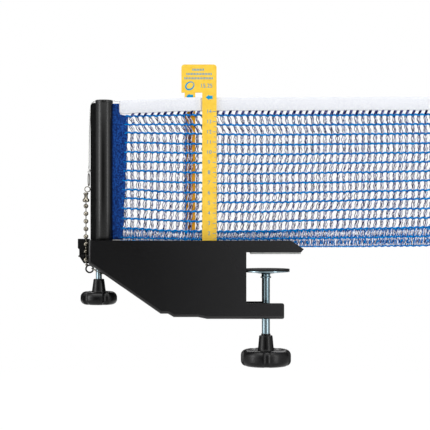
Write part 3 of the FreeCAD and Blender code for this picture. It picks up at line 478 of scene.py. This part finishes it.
def surroundings():
    world = bpy.data.worlds.new("world")
    world.use_nodes = True
    bpy.context.scene.world = world
    sky = Nodes(world.node_tree)
    back = sky.tree.nodes["Background"]
    back.inputs["Color"].default_value = (1, 1, 1, 1)
    split = sky.node("ShaderNodeSeparateXYZ")
    sky.link(sky.node("ShaderNodeTexCoord").outputs["Generated"], split.inputs[0])
    x, y, z = split.outputs

    # What shiny surfaces mirror: a soft panel on each side and a pale ceiling, darker between
    bearing = sky.math("ARCTAN2", x, sky.math("MULTIPLY", y, -1.0))
    turn = sky.math("ADD", sky.math("DIVIDE", bearing, math.tau), 0.5)
    stops = [(degrees / 360 + 0.5, (level,) * 3) for degrees, level in ROUND_ABOUT]
    sides = sky.math("MULTIPLY", sky.ramp(turn, stops, "EASE"), PANEL_PEAK)
    ceiling = sky.ranged(z, 0.0, 0.4, 0.25, 0.8)
    raised = sky.ramp(z, [(height, (level,) * 3) for height, level in RAISED])
    # The raised panel is full to 27 degrees from the front and gone at 46
    ahead = sky.math("MULTIPLY", sky.math("SUBTRACT", 0.8, sky.math("ABSOLUTE", bearing)), 3.0)
    ahead = sky.math("MAXIMUM", sky.math("MINIMUM", ahead, 1.0), 0.0)
    front = sky.math("MULTIPLY", sky.math("MULTIPLY", raised, ahead), RAISED_PEAK)
    panels = sky.math("MAXIMUM", sky.math("MAXIMUM", sides, ceiling), front)

    # The camera sees white, and matt surfaces get an even fill
    rays = sky.node("ShaderNodeLightPath").outputs
    mirror = sky.math("MAXIMUM", rays["Is Glossy Ray"], rays["Is Transmission Ray"])
    seen = sky.math("MAXIMUM", rays["Is Camera Ray"], sky.math("MULTIPLY", mirror, panels))
    diffuse = sky.math("MULTIPLY", rays["Is Diffuse Ray"], FILL)
    sky.link(sky.math("MAXIMUM", seen, diffuse), back.inputs["Strength"])


def ground():
    half, level = 1.6, -0.3
    mesh = bpy.data.meshes.new("floor")
    mesh.from_pydata(
        [(-half, -half, level), (half, -half, level), (half, half, level), (-half, half, level)],
        [], [(0, 1, 2, 3)],
    )
    look = Look("floor", Roughness=0.9, Specular_IOR_Level=0.1)
    look.colour(look.noise(40.0), [(0.3, (0.8, 0.8, 0.8)), (0.7, (0.82, 0.82, 0.82))])
    # Nearly white where the camera sees it, with the object's shadow, and dim in mirrors
    bright = look.node("ShaderNodeEmission")
    bright.inputs["Strength"].default_value = 1.03
    rays = look.node("ShaderNodeLightPath").outputs
    mirror = look.math("MAXIMUM", rays["Is Glossy Ray"], rays["Is Transmission Ray"])
    seen = look.math("MAXIMUM", rays["Is Camera Ray"], look.math("MULTIPLY", mirror, 0.25))
    mixer = look.node("ShaderNodeMixShader")
    look.link(look.math("MULTIPLY", seen, 0.94), mixer.inputs[0])
    look.link(look.shader.outputs[0], mixer.inputs[1])
    look.link(bright.outputs[0], mixer.inputs[2])
    look.link(mixer.outputs[0], look.tree.nodes["Material Output"].inputs["Surface"])
    mesh.materials.append(look.material)
    new_object("floor", mesh)


# Cord from the band over the cap and down to the knot
def tension_cord():
    route = [
        (-0.1437, 0, 0.1501), (-0.1510, 0, 0.1512), (-0.1618, 0, 0.1514),
        (-0.1688, 0, 0.1512), (-0.1741, 0, 0.1464), (-0.1744, 0, 0.0842),
    ]
    curve = bpy.data.curves.new("tension_cord_line", "CURVE")
    curve.dimensions = "3D"
    curve.resolution_u = 16
    line = curve.splines.new("NURBS")
    line.points.add(len(route) - 1)
    for point, place in zip(line.points, route):
        point.co = (*place, 1)
    line.order_u = 3
    line.use_endpoint_u = True
    guide = new_object("tension_cord_line", curve)
    graph = bpy.context.evaluated_depsgraph_get()
    traced = bpy.data.meshes.new_from_object(guide.evaluated_get(graph))
    middle = [tuple(v.co) for v in traced.vertices]
    bpy.data.objects.remove(guide)
    bpy.data.meshes.remove(traced)
    shape = Shape()
    shape.tube([(x / MM, y / MM, z / MM) for x, y, z in middle], 0.68, 12, ply=0.05, lay=2.4)
    cord = shape.make("cord_over_cap", ["cord_white"], None, ["tension_cord"])
    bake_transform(cord)

    def turns(angle):
        reach = 0.85 * (1.0 + 0.45 * math.cos(3 * angle))
        across, deep = reach * math.cos(2 * angle), reach * math.sin(2 * angle)
        return LINK_X + across, deep, 81.7 + 1.25 * math.sin(3 * angle)

    knot = Shape()
    knot.tube(loop(96, turns), 0.62, 10, closed=True, ply=0.08, lay=2.2)
    end = [(-174.4, 0, 84.3), (-174.4, 0.1, 82.6), (-174.5, 0.2, 81.6), (-174.6, 0.1, 79.8)]
    knot.tube(end, 0.62, 10)
    knot.make("knot", ["cord_white"], "bracket", ["cord_knot"])


# Bead chain and its wire fittings
BEADS = 8
BEAD_PITCH = 7.5
BEAD_RADIUS = 2.4
TOP_BEAD = 47.0
CHAIN_TOP = 50.7
CHAIN_END = -9.2
CRIMP_FOOT = 50.75


def chain():
    beads = Shape()
    for index in range(BEADS):
        centre = TOP_BEAD - BEAD_PITCH * index
        profile = [(0.62, centre + 2.02)]
        for step in range(19):
            angle = math.radians(20 + 140 * step / 18)
            seam = 0.05 if step == 9 else 0.0
            wide = BEAD_RADIUS * math.sin(angle) - seam
            profile.append((wide, centre + BEAD_RADIUS * math.cos(angle)))
        profile.append((0.62, centre - 2.02))
        beads.lathe(profile, BEAD_X, 28)
    # The wire that shows above each bead, and below the last
    for index in range(BEADS + 1):
        bead = TOP_BEAD - BEAD_PITCH * index
        top = min(CHAIN_TOP, bead + BEAD_PITCH - 1.9)
        low = max(CHAIN_END, bead + 1.9)
        beads.tube([(BEAD_X, 0, z) for z in (top, (top + low) / 2, low)], 0.5, 10)
    beads.make("bead_row", ["chain_nickel"], "bracket", ["bead_chain"])

    crimp = Shape()
    profile = [
        (1.6, 0.0), (2.3, 0.1), (3.1, 0.6), (3.3, 1.3), (3.3, 2.5), (3.0, 3.2), (2.2, 3.8),
        (1.8, 4.6), (1.7, 6.4), (1.8, 7.2), (2.3, 7.8), (2.5, 8.6), (2.3, 9.3), (1.2, 9.6),
    ]
    crimp.lathe([(radius, CRIMP_FOOT + z) for radius, z in profile], BEAD_X, 36)
    crimp.make("chain_crimp", ["chain_nickel"], "bracket", ["chain_connector"])

    def oval(angle):
        across = 1.2 * math.copysign(abs(math.cos(angle)) ** 0.6, math.cos(angle))
        up = 5.85 * math.copysign(abs(math.sin(angle)) ** 0.8, math.sin(angle))
        return LINK_X + across * 0.5, across, 73.05 + up

    link = Shape()
    link.tube(loop(72, oval), 0.48, 10, closed=True)
    link.make("wire_link", ["wire_dark"], "bracket", ["cord_hook"])

    def circle(angle):
        return -173.6 + 3.6 * math.cos(angle), 0, -14.8 + 3.6 * math.sin(angle)

    ring = Shape()
    ring.tube(loop(72, circle), 0.8, 12, closed=True)
    ring.make("low_ring", ["ring_black"], "bracket", ["end_ring"])


# Lobed knobs
LOBES = 5
LOBE_DEPTH = 2.8
ROUND_TOP = 5.6
ROUND_LOW = 5.2
DISH = 1.6


def lobes(rim, groove):
    # How far the outline dips below the rim at each angle, between round grooves
    far = rim + groove - LOBE_DEPTH
    step = math.tau / LOBES
    hard = 1.8

    def dip(angle):
        off = (angle + math.pi / 2 + step / 2) % step - step / 2
        inside = groove ** 2 - (far * math.sin(off)) ** 2
        near = far * math.cos(off) - math.sqrt(inside) if inside > 0 else rim + 3
        # The rim less the smaller of rim and near, with a soft change from one to the other
        return math.log(1 + math.exp(hard * (rim - near))) / hard
    return dip


def knob(name, body, x, hub_top, hub_length, height, hub_radius, root_radius, rim, groove, bore,
         turn=0, collar=False):
    seat = hub_top - hub_length
    foot = seat - height
    profile = [(bore + 0.1, hub_top)]
    if collar:
        profile = [
            (bore + 0.1, hub_top + 1.8), (4.4, hub_top + 1.8), (4.6, hub_top + 1.6),
            (4.6, hub_top + 0.2), (4.8, hub_top),
        ]
    # The hub widens down to a rounded root
    profile += [
        (hub_radius - 0.7, hub_top), (hub_radius - 0.2, hub_top - 0.2), (hub_radius, hub_top - 0.8),
    ]
    for step in range(1, 8):
        share = step / 8
        wide = hub_radius + (root_radius - hub_radius) * share
        profile.append((wide, hub_top - 0.8 - (hub_length - 2.0) * share))
    profile += [
        (root_radius + 0.1, seat + 1.0), (root_radius + 0.5, seat + 0.35),
        (root_radius + 1.2, seat + 0.05),
    ]
    # The dish rises from the root to the lobes
    inner, outer = root_radius + 1.4, rim - ROUND_TOP - 0.4
    for share, rise, lobed in (
        (0.28, 0, 0.1), (0.45, 0.16, 0.3), (0.64, 0.75, 0.65), (1, 0.97, 0.9),
    ):
        profile.append((inner + (outer - inner) * share, seat + DISH * rise, lobed))
    for step in range(1, 11):
        angle = math.radians(90 - 9 * step)
        wide = rim - ROUND_TOP + ROUND_TOP * math.cos(angle)
        level = seat + DISH - ROUND_TOP + ROUND_TOP * math.sin(angle)
        profile.append((wide, level, 0.9 + 0.01 * step))
    for step in range(11):
        angle = math.radians(9 * step)
        wide = rim - ROUND_LOW + ROUND_LOW * math.cos(angle)
        level = foot + ROUND_LOW - ROUND_LOW * math.sin(angle)
        profile.append((wide, level, 1.0 - 0.04 * step))
    profile += [
        (rim - ROUND_LOW - 2.0, foot, 0.45), (rim * 0.5, foot, 0.15),
        (rim * 0.46, foot + 0.5), (rim * 0.2, foot + 0.5), (0.4, foot + 0.5),
    ]
    grip = Shape()
    grip.lathe(profile, x, 180, lobes(rim, groove), math.radians(turn))
    sharp(grip.make(name + "_grip", ["knob_black"], body, [name]), 40)


# Screws with their threads
def thread(shape, x, high, low, radius, pitch, depth):
    sides = 36
    rings = []
    count = int((high - low) / pitch * 8)
    for index in range(count + 1):
        level = high + (low - high) * index / count
        fade = min(1.0, (high - level) / pitch, (level - low) / pitch + 0.3)
        ring = []
        for s in range(sides):
            angle = math.tau * s / sides
            cut = 0.5 - 0.5 * math.cos(math.tau * level / pitch - angle)
            reach = radius - depth * fade * cut
            ring.append((x + reach * math.cos(angle), reach * math.sin(angle), level))
        rings.append(ring)
    # Upwards, as in lathe
    shape.rings(rings[::-1])


def screws():
    clamp = Shape()
    clamp.lathe([
        (1.2, -16.5), (2.8, -16.5), (3.0, -16.7), (2.2, -16.71), (2.2, -17.5), (3.0, -17.5),
        (3.0, -22.3), (4.9, -22.3), (5.2, -22.5), (5.25, -23.0), (5.2, -23.5), (4.9, -23.7),
        (3.9, -23.7),
    ])
    thread(clamp, 0, -23.7, -92.4, 4.0, 1.25, 0.06)
    sharp(clamp.make("clamp_thread", ["zinc"], "clamp_screw", ["clamp_screw"]), 50)
    lift = Shape()
    lift.lathe([
        (1.0, 6.8), (2.1, 6.8), (2.3, 6.65), (2.3, 6.6), (1.5, 6.6), (1.5, 5.8), (2.3, 5.8),
        (2.3, 1.5), (2.9, 1.5),
    ], SCREW_X, 40)
    thread(lift, SCREW_X, 1.5, -36.7, 3.0, 1.0, 0.05)
    sharp(lift.make("height_thread", ["zinc"], "height_screw", ["height_screw"]), 50)


# Net of knitted yarn: row cords, and looped strands between them
# Height of each row of cord at each station, from the top row down
ROW_STATIONS = (-131.0, -90.0, -35.0, 4.0, 73.0, 172.0)
ROWS = [
    (135.4, 136.4, 136.8, 136.5, 136.7, 137.1), (127.2, 127.3, 127.1, 126.8, 127.2, 127.9),
    (119.1, 118.5, 117.6, 117.2, 117.8, 118.6), (109.7, 108.4, 107.7, 107.4, 108.1, 109.0),
    (100.5, 99.4, 98.3, 98.0, 98.7, 99.9), (90.8, 89.8, 88.7, 88.7, 89.4, 90.9),
    (82.0, 80.4, 79.1, 79.0, 80.0, 81.8), (72.2, 70.3, 69.2, 69.4, 70.6, 72.3),
    (63.2, 60.6, 59.6, 59.6, 61.1, 62.8), (54.7, 51.5, 50.6, 50.7, 52.3, 54.5),
    (44.8, 41.9, 41.1, 41.6, 43.0, 45.0), (34.9, 32.1, 31.5, 31.9, 33.6, 35.8),
    (25.1, 22.3, 21.9, 22.4, 24.2, 26.5), (15.8, 14.3, 14.4, 14.6, 15.5, 17.4),
    (8.0, 7.2, 7.0, 7.0, 7.1, 8.4),
]
# How far the strands of each band lean to the right at their upper ends
LEAN_STATIONS = (-137.0, -112.0, 33.0, 131.0)
LEAN = [
    (-3.4, -4.2, -1.0, -0.9), (-3.6, -4.4, -2.8, -1.2), (0.2, -0.3, 0.2, 0.0),
    (-0.6, -0.5, -0.2, 0.0), (-0.6, 0.8, 1.9, 1.2), (-0.9, 0.9, 2.1, 1.4),
    (-0.8, 0.3, 0.3, 0.5), (-0.7, 0.2, 0.3, 0.5), (-0.4, 0.7, 0.9, 1.0), (-0.2, 1.2, 3.0, 1.6),
    (0.0, 1.2, 1.2, 1.4), (0.2, 1.0, 0.9, 1.2), (0.4, 1.8, 1.8, 1.5), (0.0, 1.2, 1.2, 1.2),
]
FIRST_STRAND = -144.6
STRAND_PITCH = 6.45
# The bands at the net's lower edge that are knitted close
DENSE_BANDS = range(12, 14)
LOWEST_CORD = 7.25
NET_LOOKS = ["net_blue", "strand_navy", "strand_light", "strand_grey"]
BLUE, NAVY, LIGHT, GREY = range(4)
# Threads of a strand: shift from its middle, radius, look, depth, bow
STRAND = (
    (-1.2, 0.36, NAVY, 0.35, -0.3), (-0.5, 0.33, GREY, -0.3, 0.2), (0.25, 0.34, NAVY, 0.2, -0.2),
    (0.95, 0.36, GREY, -0.3, 0.3), (0.1, 0.3, LIGHT, -0.5, 0.5),
)
DENSE_STRAND = (
    (-0.95, 0.5, BLUE, 0.35, -0.25), (0.95, 0.46, LIGHT, -0.3, 0.25), (0.05, 0.42, GREY, 0.1, 0.1),
)
# Threads that hang the net on the band: shift, radius, look
HANGER = ((-0.6, 0.75, NAVY), (0.6, 0.75, NAVY), (1.5, 0.4, LIGHT))


def row_level(row, x):
    stations = list(zip(ROW_STATIONS, ROWS[row]))
    return sum(along(stations, x + step) for step in (-12, -4, 4, 12)) / 4


def leaning(band, x):
    return along(list(zip(LEAN_STATIONS, LEAN[band])), x)


def strand_places():
    places = [FIRST_STRAND]
    while places[-1] < HEM_START:
        places.append(places[-1] + STRAND_PITCH - 0.0012 * (places[-1] + 131))
    return places


def row_cord(shape, row, places, phase):
    start = sleeve_x(ROWS[row][0]) - 3.0
    length = NET_END - 3.0 - start
    band = min(row, len(LEAN) - 1)
    line = []
    count = int(length / 0.5)
    for index in range(count + 1):
        x = start + length * index / count
        # The cord hangs a little at each strand and rises between them
        lean = leaning(band, x) / 2
        away = min(abs(place + lean - x) for place in places) / 3.2
        sag = 0.4 * math.cos(math.pi * min(1.0, away))
        beat = math.sin(math.tau * x / 2.1 + phase)
        slow = math.sin(x * 0.11 + phase * 2) + 0.6 * math.sin(x * 0.043 + row)
        level = row_level(row, x) - sag + 0.1 * beat + 0.1 * slow
        # The lowest cord stays clear of the plate under it when the post goes down
        line.append((x, net_y(x) + 0.1 * beat, max(level, LOWEST_CORD)))
    radius = 0.85 if row == len(ROWS) - 1 else 0.97
    shape.tube(line, radius, 8, BLUE, ply=0.16, lay=3.0)


def strand(shape, rng, base, bands, threads, scatter):
    for shift, radius, look, front, bow_out in threads:
        line = []
        drift = rng.uniform(-scatter, scatter)
        for band in bands:
            lean = leaning(band, base) + rng.uniform(-0.4, 0.4)
            bow = bow_out + rng.uniform(-0.5, 0.5)
            turn = rng.uniform(0, math.tau)
            for step in range(8):
                share = step / 7
                x = base + shift + drift - lean * (share - 0.5)
                x += bow * math.sin(math.pi * share)
                x += 0.42 * math.sin(math.pi * share) * math.sin(2.6 * math.pi * share + turn)
                x = min(x, HEM_START + 3)
                x = max(x, sleeve_x(row_level(band, x)) - 2.5)
                high = row_level(band, x) - 0.5
                low = row_level(band + 1, x) + 0.5
                over = front * math.cos(math.tau * share) * (1 if band % 2 else -1)
                line.append((x, net_y(x) + over, high + (low - high) * share))
        shape.tube(line, radius, 6, look)


def hanger(shape, rng, base):
    for shift, radius, look in HANGER:
        x = base + shift + rng.uniform(-0.3, 0.3)
        low = row_level(0, x) - 0.3
        high = along(TAPE_TOP, x) - TAPE_HEIGHT + 0.9
        points = []
        for step in range(5):
            share = step / 4
            place = x + 2.2 * (share - 0.3)
            bulge = 0.55 * math.sin(math.pi * share)
            points.append((place, net_y(place) - bulge, low + (high - low) * share))
        shape.tube(points, radius, 6, look)


def net():
    shape = Shape()
    rng = random.Random(3)
    places = strand_places()
    for row in range(len(ROWS)):
        row_cord(shape, row, places, rng.uniform(0, 6))
    for base in places:
        if base > sleeve_x(8.0) - 2.0:
            strand(shape, rng, base, range(len(LEAN)), STRAND, 0.25)
            # The gauge's rear leg gathers the net
            if -83 < base < -76.5:
                strand(shape, rng, base + 2.6, range(len(LEAN)), DENSE_STRAND[:2], 0.3)
        for share in (0.25, 0.5, 0.75):
            spot = base + 6.3 * share
            if sleeve_x(20.0) - 1 < spot < HEM_START + 2:
                strand(shape, rng, spot, DENSE_BANDS, DENSE_STRAND, 0.5)
        if sleeve_x(137.0) < base < HEM_START + 2:
            hanger(shape, rng, base)
    item = shape.make("net_yarn", NET_LOOKS, "post", ["net_mesh"])


# Folded cloth: band, sleeve and far hem
def cloth(name, grid, thick, look, node, keep=None):
    # grid: rows of points in millimetres; keep says which of its faces are made
    shape = Shape()
    wide = len(grid[0])
    faces = []
    for r in range(len(grid) - 1):
        for c in range(wide - 1):
            if keep is None or keep(r, c):
                a = r * wide + c
                faces.append((a, a + 1, a + wide + 1, a + wide))
    shape.add([tuple(p) for row in grid for p in row], faces)
    item = shape.make(name, [look], "post", [node])
    solid = item.modifiers.new("Solidify", "SOLIDIFY")
    solid.thickness = thick * MM
    solid.offset = 0
    apply_modifiers(item)
    return item


# The band: half its width across the net, the height of its fold, its seams and its stitches
TAPE_HALF = 0.4
TAPE_FOLD = 13.2
SEAMS = (1.5, 11.6)
STITCH = 2.0
STITCH_PITCH = 2.7


def belly(up):
    # The band is fuller at half its height
    share = min(1.0, max(0.0, up / TAPE_FOLD))
    return TAPE_HALF * (1 + 8.0 * share * (1 - share))


def tape():
    rng = random.Random(11)
    phases = [rng.uniform(0, 6) for _ in range(5)]
    fold = [(-1, step / 9 * 13.0) for step in range(9)]
    for step in range(7):
        angle = math.pi - math.pi * step / 6
        fold.append((math.cos(angle), 13.1 + TAPE_HALF * math.sin(angle) - TAPE_HALF * 0.2))
    fold += [(1, (8 - step) / 9 * 13.0) for step in range(9)]
    grid = []
    count = 240
    for index in range(count + 1):
        x = TAPE_START + (NET_END - 0.05 - TAPE_START) * index / count
        top = along(TAPE_TOP, x)
        sway = 0.1 * math.sin(x * 0.21 + phases[0]) + 0.07 * math.sin(x * 0.47 + phases[1])
        low = 0.18 * math.sin(x * 0.33 + phases[2]) + 0.1 * math.sin(x * 0.9 + phases[3])
        crown = 0.1 * math.sin(x * 0.26 + phases[4])
        # The lower corner at the post curls up
        curl = 1.3 * (1 - smooth_step((x - TAPE_START) / 1.8))
        row = []
        for across, up in fold:
            share = 1 - up / TAPE_FOLD
            level = top - TAPE_HEIGHT + 0.25 + up + low * share ** 2 + crown * (1 - share)
            level += curl * share ** 4
            row.append((x, net_y(x) + across * belly(up) + sway * 0.5, level))
        grid.append(row)
    item = cloth("net_band", grid, 0.42, "tape_white", "net_tape")
    stitches = Shape()
    for side in (-1, 1):
        for lift in SEAMS:
            x = -141.5
            while x < NET_END - 3:
                points = []
                for step in range(5):
                    share = step / 4
                    place = x + STITCH * share
                    arch = 0.1 * math.sin(math.pi * share)
                    level = along(TAPE_TOP, place) - TAPE_HEIGHT + lift
                    points.append((place, net_y(place) + side * (belly(lift) + 0.22 + arch), level))
                stitches.tube(points, 0.14, 6)
                x += STITCH_PITCH
    sewn = stitches.make("band_stitches", ["cord_white"], "post")


# The sleeve: its ends, where the band begins to cover it, and its way through the post's slot
SLEEVE_LOW = 13.7
SLEEVE_HIGH = 147.9
BAND_FOOT = 137.4
SLOT_OUT = -150.9
SLOT_WALL = 4.9
SLOT_IN = -155.8
ROD_RADIUS = 2.95
SLEEVE_Y = 0.62


def sleeve():
    levels = [SLEEVE_LOW + (SLEEVE_HIGH - SLEEVE_LOW) * i / 64 for i in range(65)]
    grid = []
    for z in levels:
        edge = -143.6
        if z < BAND_FOOT:
            wave = 0.25 * math.sin(z * 0.23) + 0.15 * math.sin(z * 0.61 + 1)
            edge = sleeve_x(z) + wave
        path = []
        for step in range(13):
            x = edge - (edge - SLOT_OUT) * (step / 12)
            puff = 0.12 * math.sin(z * 0.31 + x * 0.5)
            path.append((x, -SLEEVE_Y + puff * 0.4, z))
        # Through the slot, round the rod and out again
        for step in range(1, 5):
            x = SLOT_OUT - SLOT_WALL * step / 4
            path.append((x, -SLEEVE_Y - 0.9 * smooth_step(step / 4), z))
        reach = ROD_RADIUS + 0.6
        for step in range(9):
            angle = math.radians(-60 - 240 * step / 8)
            path.append((POST_X + reach * math.cos(angle), reach * math.sin(angle), z))
        for step in range(1, 5):
            x = SLOT_IN + SLOT_WALL * step / 4
            path.append((x, SLEEVE_Y + 0.9 * (1 - smooth_step(step / 4)), z))
        for step in range(1, 13):
            x = SLOT_OUT + (edge - SLOT_OUT) * (step / 12)
            path.append((x, SLEEVE_Y + 0.05 * math.sin(z * 0.37 + x * 0.4), z))
        grid.append(path)

    def keep(row, column):
        # The part inside the post, points 13 to 29 of each row, is shorter than the rest
        return not 12 <= column <= 29 or 21.0 < levels[row] < 138.5

    item = cloth("sleeve_cloth", grid, 0.5, "sleeve_navy", "net_sleeve", keep)


# The far hem: its foot, its fold and half its gap
HEM_FOOT = 6.4
HEM_FOLD = 171.2
HEM_Y = 0.6


def far_hem():
    top = along(TAPE_TOP, 168.0) - TAPE_HEIGHT + 0.1
    grid = []
    for index in range(49):
        z = HEM_FOOT + (top - HEM_FOOT) * index / 48
        wave = 0.2 * math.sin(z * 0.27)
        path = []
        for step in range(8):
            path.append((HEM_START + 0.1 + wave + (8.2 - wave) * step / 7, -HEM_Y, z))
        for step in range(1, 6):
            angle = -math.pi / 2 + math.pi * step / 6
            path.append((HEM_FOLD + 0.5 * math.cos(angle), HEM_Y * math.sin(angle), z))
        for step in range(8):
            path.append((HEM_FOLD - (8.1 - wave) * step / 7, HEM_Y, z))
        grid.append([(x, y + net_y(x), level) for x, y, level in path])
    item = cloth("hem_cloth", grid, 0.45, "sleeve_navy", "far_hem")


# Print on the gauge: arrows, ticks and plain numbers, raised a little above its face
PRINT_FRONT = -1.06
PRINT_BACK = -0.98
# Half the thickness of the numbers
NUMBER_HALF = 0.03
TICK_END = -49.2
RING_X = -75.0
RING_Z = 165.3
# Bars where the small print stands: height, left and right end
SMALL_PRINT = ((181.2, -72.4, -60.6), (177.0, -78.2, -53.6), (172.8, -80.2, -51.8))


def plate(shape, outline):
    # outline runs against the clock, seen from the front
    count = len(outline)
    points = [(x, level, z) for level in (PRINT_FRONT, PRINT_BACK) for x, z in outline]
    faces = [tuple(range(count)), tuple(reversed(range(count, 2 * count)))]
    for i in range(count):
        j = (i + 1) % count
        faces.append((j, i, i + count, j + count))
    shape.add(points, faces)


def bar(shape, x0, z0, x1, z1):
    plate(shape, [(x0, z0), (x1, z0), (x1, z1), (x0, z1)])


def arrow(shape, x, z):
    plate(shape, [
        (x - 3.5, z), (x - 0.2, z - 2.7), (x - 0.2, z - 1.6), (x + 3.4, z - 1.6),
        (x + 3.4, z + 1.6), (x - 0.2, z + 1.6), (x - 0.2, z + 2.7),
    ])


def slanted_ring(shape):
    # Wider than high and set aslant
    count = 48
    rims = []
    for wide, high, drift in ((4.9, 4.1, 0.0), (3.7, 2.7, 0.3)):
        for s in range(count):
            across = wide * math.cos(math.tau * s / count)
            up = high * math.sin(math.tau * s / count)
            rims.append((0.8 * across - 0.6 * up + drift, 0.6 * across + 0.8 * up + drift))
    points = []
    for level in (PRINT_FRONT, PRINT_BACK):
        points += [(RING_X + x, level, RING_Z + z) for x, z in rims]
    # Corners of the ring's section: front outer and inner, back outer and inner
    a, b, c, d = 0, count, 2 * count, 3 * count
    faces = []
    for s in range(count):
        t = (s + 1) % count
        faces += [
            (a + s, a + t, b + t, b + s), (a + t, a + s, c + s, c + t),
            (b + s, b + t, d + t, d + s), (c + s, d + s, d + t, c + t),
        ]
    shape.add(points, faces)


def words(name, text, x, z, size):
    curve = bpy.data.curves.new(name, "FONT")
    curve.body = text
    curve.size = size * MM
    curve.extrude = NUMBER_HALF * MM
    curve.align_x = "CENTER"
    curve.align_y = "CENTER"
    writing = new_object(name + "_text", curve)
    writing.rotation_euler = (math.radians(90), 0, 0)
    writing.location = (x * MM, (PRINT_FRONT + NUMBER_HALF) * MM, z * MM)
    bpy.context.view_layer.update()
    graph = bpy.context.evaluated_depsgraph_get()
    mesh = bpy.data.meshes.new_from_object(writing.evaluated_get(graph))
    mesh.transform(writing.matrix_world)
    bpy.data.objects.remove(writing)
    mesh.materials.clear()
    mesh.materials.append(LOOKS["print_blue"])
    item = new_object(name, mesh)
    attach(item, "gauge")


def gauge_print():
    shape = Shape()
    arrow(shape, -55.8, 154.0)
    arrow(shape, -75.0, 155.0)
    for step in range(1, 28):
        level = 5.0 * step + 5
        long = 3.2 if step % 2 else 1.9
        bar(shape, TICK_END - long, level - 0.24, TICK_END, level + 0.24)
    slanted_ring(shape)
    for level, left, right in SMALL_PRINT:
        x = left
        while x < right:
            bar(shape, x, level - 1.0, x + 0.8, level + (1.0 if int(x * 10) % 3 else 0.3))
            x += 1.5
    item = shape.make("gauge_marks", ["print_blue"], "gauge")
    for polygon in item.data.polygons:
        polygon.use_smooth = False
    for number in range(1, 15):
        words("number_%d" % number, str(number), -56.0, 10.0 * number, 5.2)
    words("head_number", "15.25", -58.6, RING_Z, 5.6)


# CAD nodes that stay: look, and width of the softened edges in millimetres
KEPT = {
    "front_plate": ("black_steel", 0.4), "rear_plate": ("black_steel", 0.4),
    "jaw_web": ("black_steel", 0.2), "upper_jaw_pad": ("pad_grey", 0.25),
    "clamp_nut": ("zinc", 0.3), "post_guide": ("guide_black", 0.3),
    "guide_rivets": ("zinc", 0.35), "height_nut_plate": ("black_steel", 0.2),
    "height_nut": ("zinc", 0.3), "chain_cleat": ("black_steel", 0.3),
    "cleat_rivets": ("zinc", 0.35), "link_ring": ("chain_nickel", 0),
    "chain_tail": ("chain_nickel", 0.2), "screw_loop": ("chain_nickel", 0),
    "pressure_pad": ("pad_black", 0.5), "pressure_plate": ("zinc", 0.5),
    "swivel_socket": ("zinc", 0.25), "clamp_screw_clip": ("zinc", 0.1),
    "post_tube": ("post_black", 0.3), "post_foot": ("guide_black", 0.3),
    "post_cap": ("cap_black", 0.15), "sleeve_rod": ("rod_grey", 0.2),
    "height_screw_clip": ("zinc", 0.1), "height_thrust_washer": ("zinc", 0.1),
    "height_gauge": ("gauge_yellow", 0.2),
}


def dress_cad():
    for name, (look, edge) in KEPT.items():
        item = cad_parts[name]
        for slot in item.material_slots:
            slot.material = LOOKS[look]
        if not edge:
            continue
        weld = item.modifiers.new("Weld", "WELD")
        weld.merge_threshold = 0.000002
        bevel = item.modifiers.new("Bevel", "BEVEL")
        bevel.width = edge * MM
        bevel.segments = 2
        bevel.limit_method = "ANGLE"
        bevel.angle_limit = math.radians(40)


camera()
lamps()
surroundings()
ground()
tension_cord()
chain()
knob(
    "clamp_knob", "clamp_screw", x=0, hub_top=-80.4, hub_length=15.4, height=14.4, hub_radius=6.65,
    root_radius=7.9, rim=24.7, groove=4.5, bore=4.0, collar=True,
)
knob(
    "height_knob", "height_screw", x=SCREW_X, hub_top=-24.7, hub_length=13.9, height=11.2,
    hub_radius=5.3, root_radius=6.9, rim=18.0, groove=3.5, bore=3.0, turn=28,
)
screws()
net()
tape()
sleeve()
far_hem()
gauge_print()
dress_cad()

view = bpy.context.scene.view_settings
view.view_transform = "Standard"
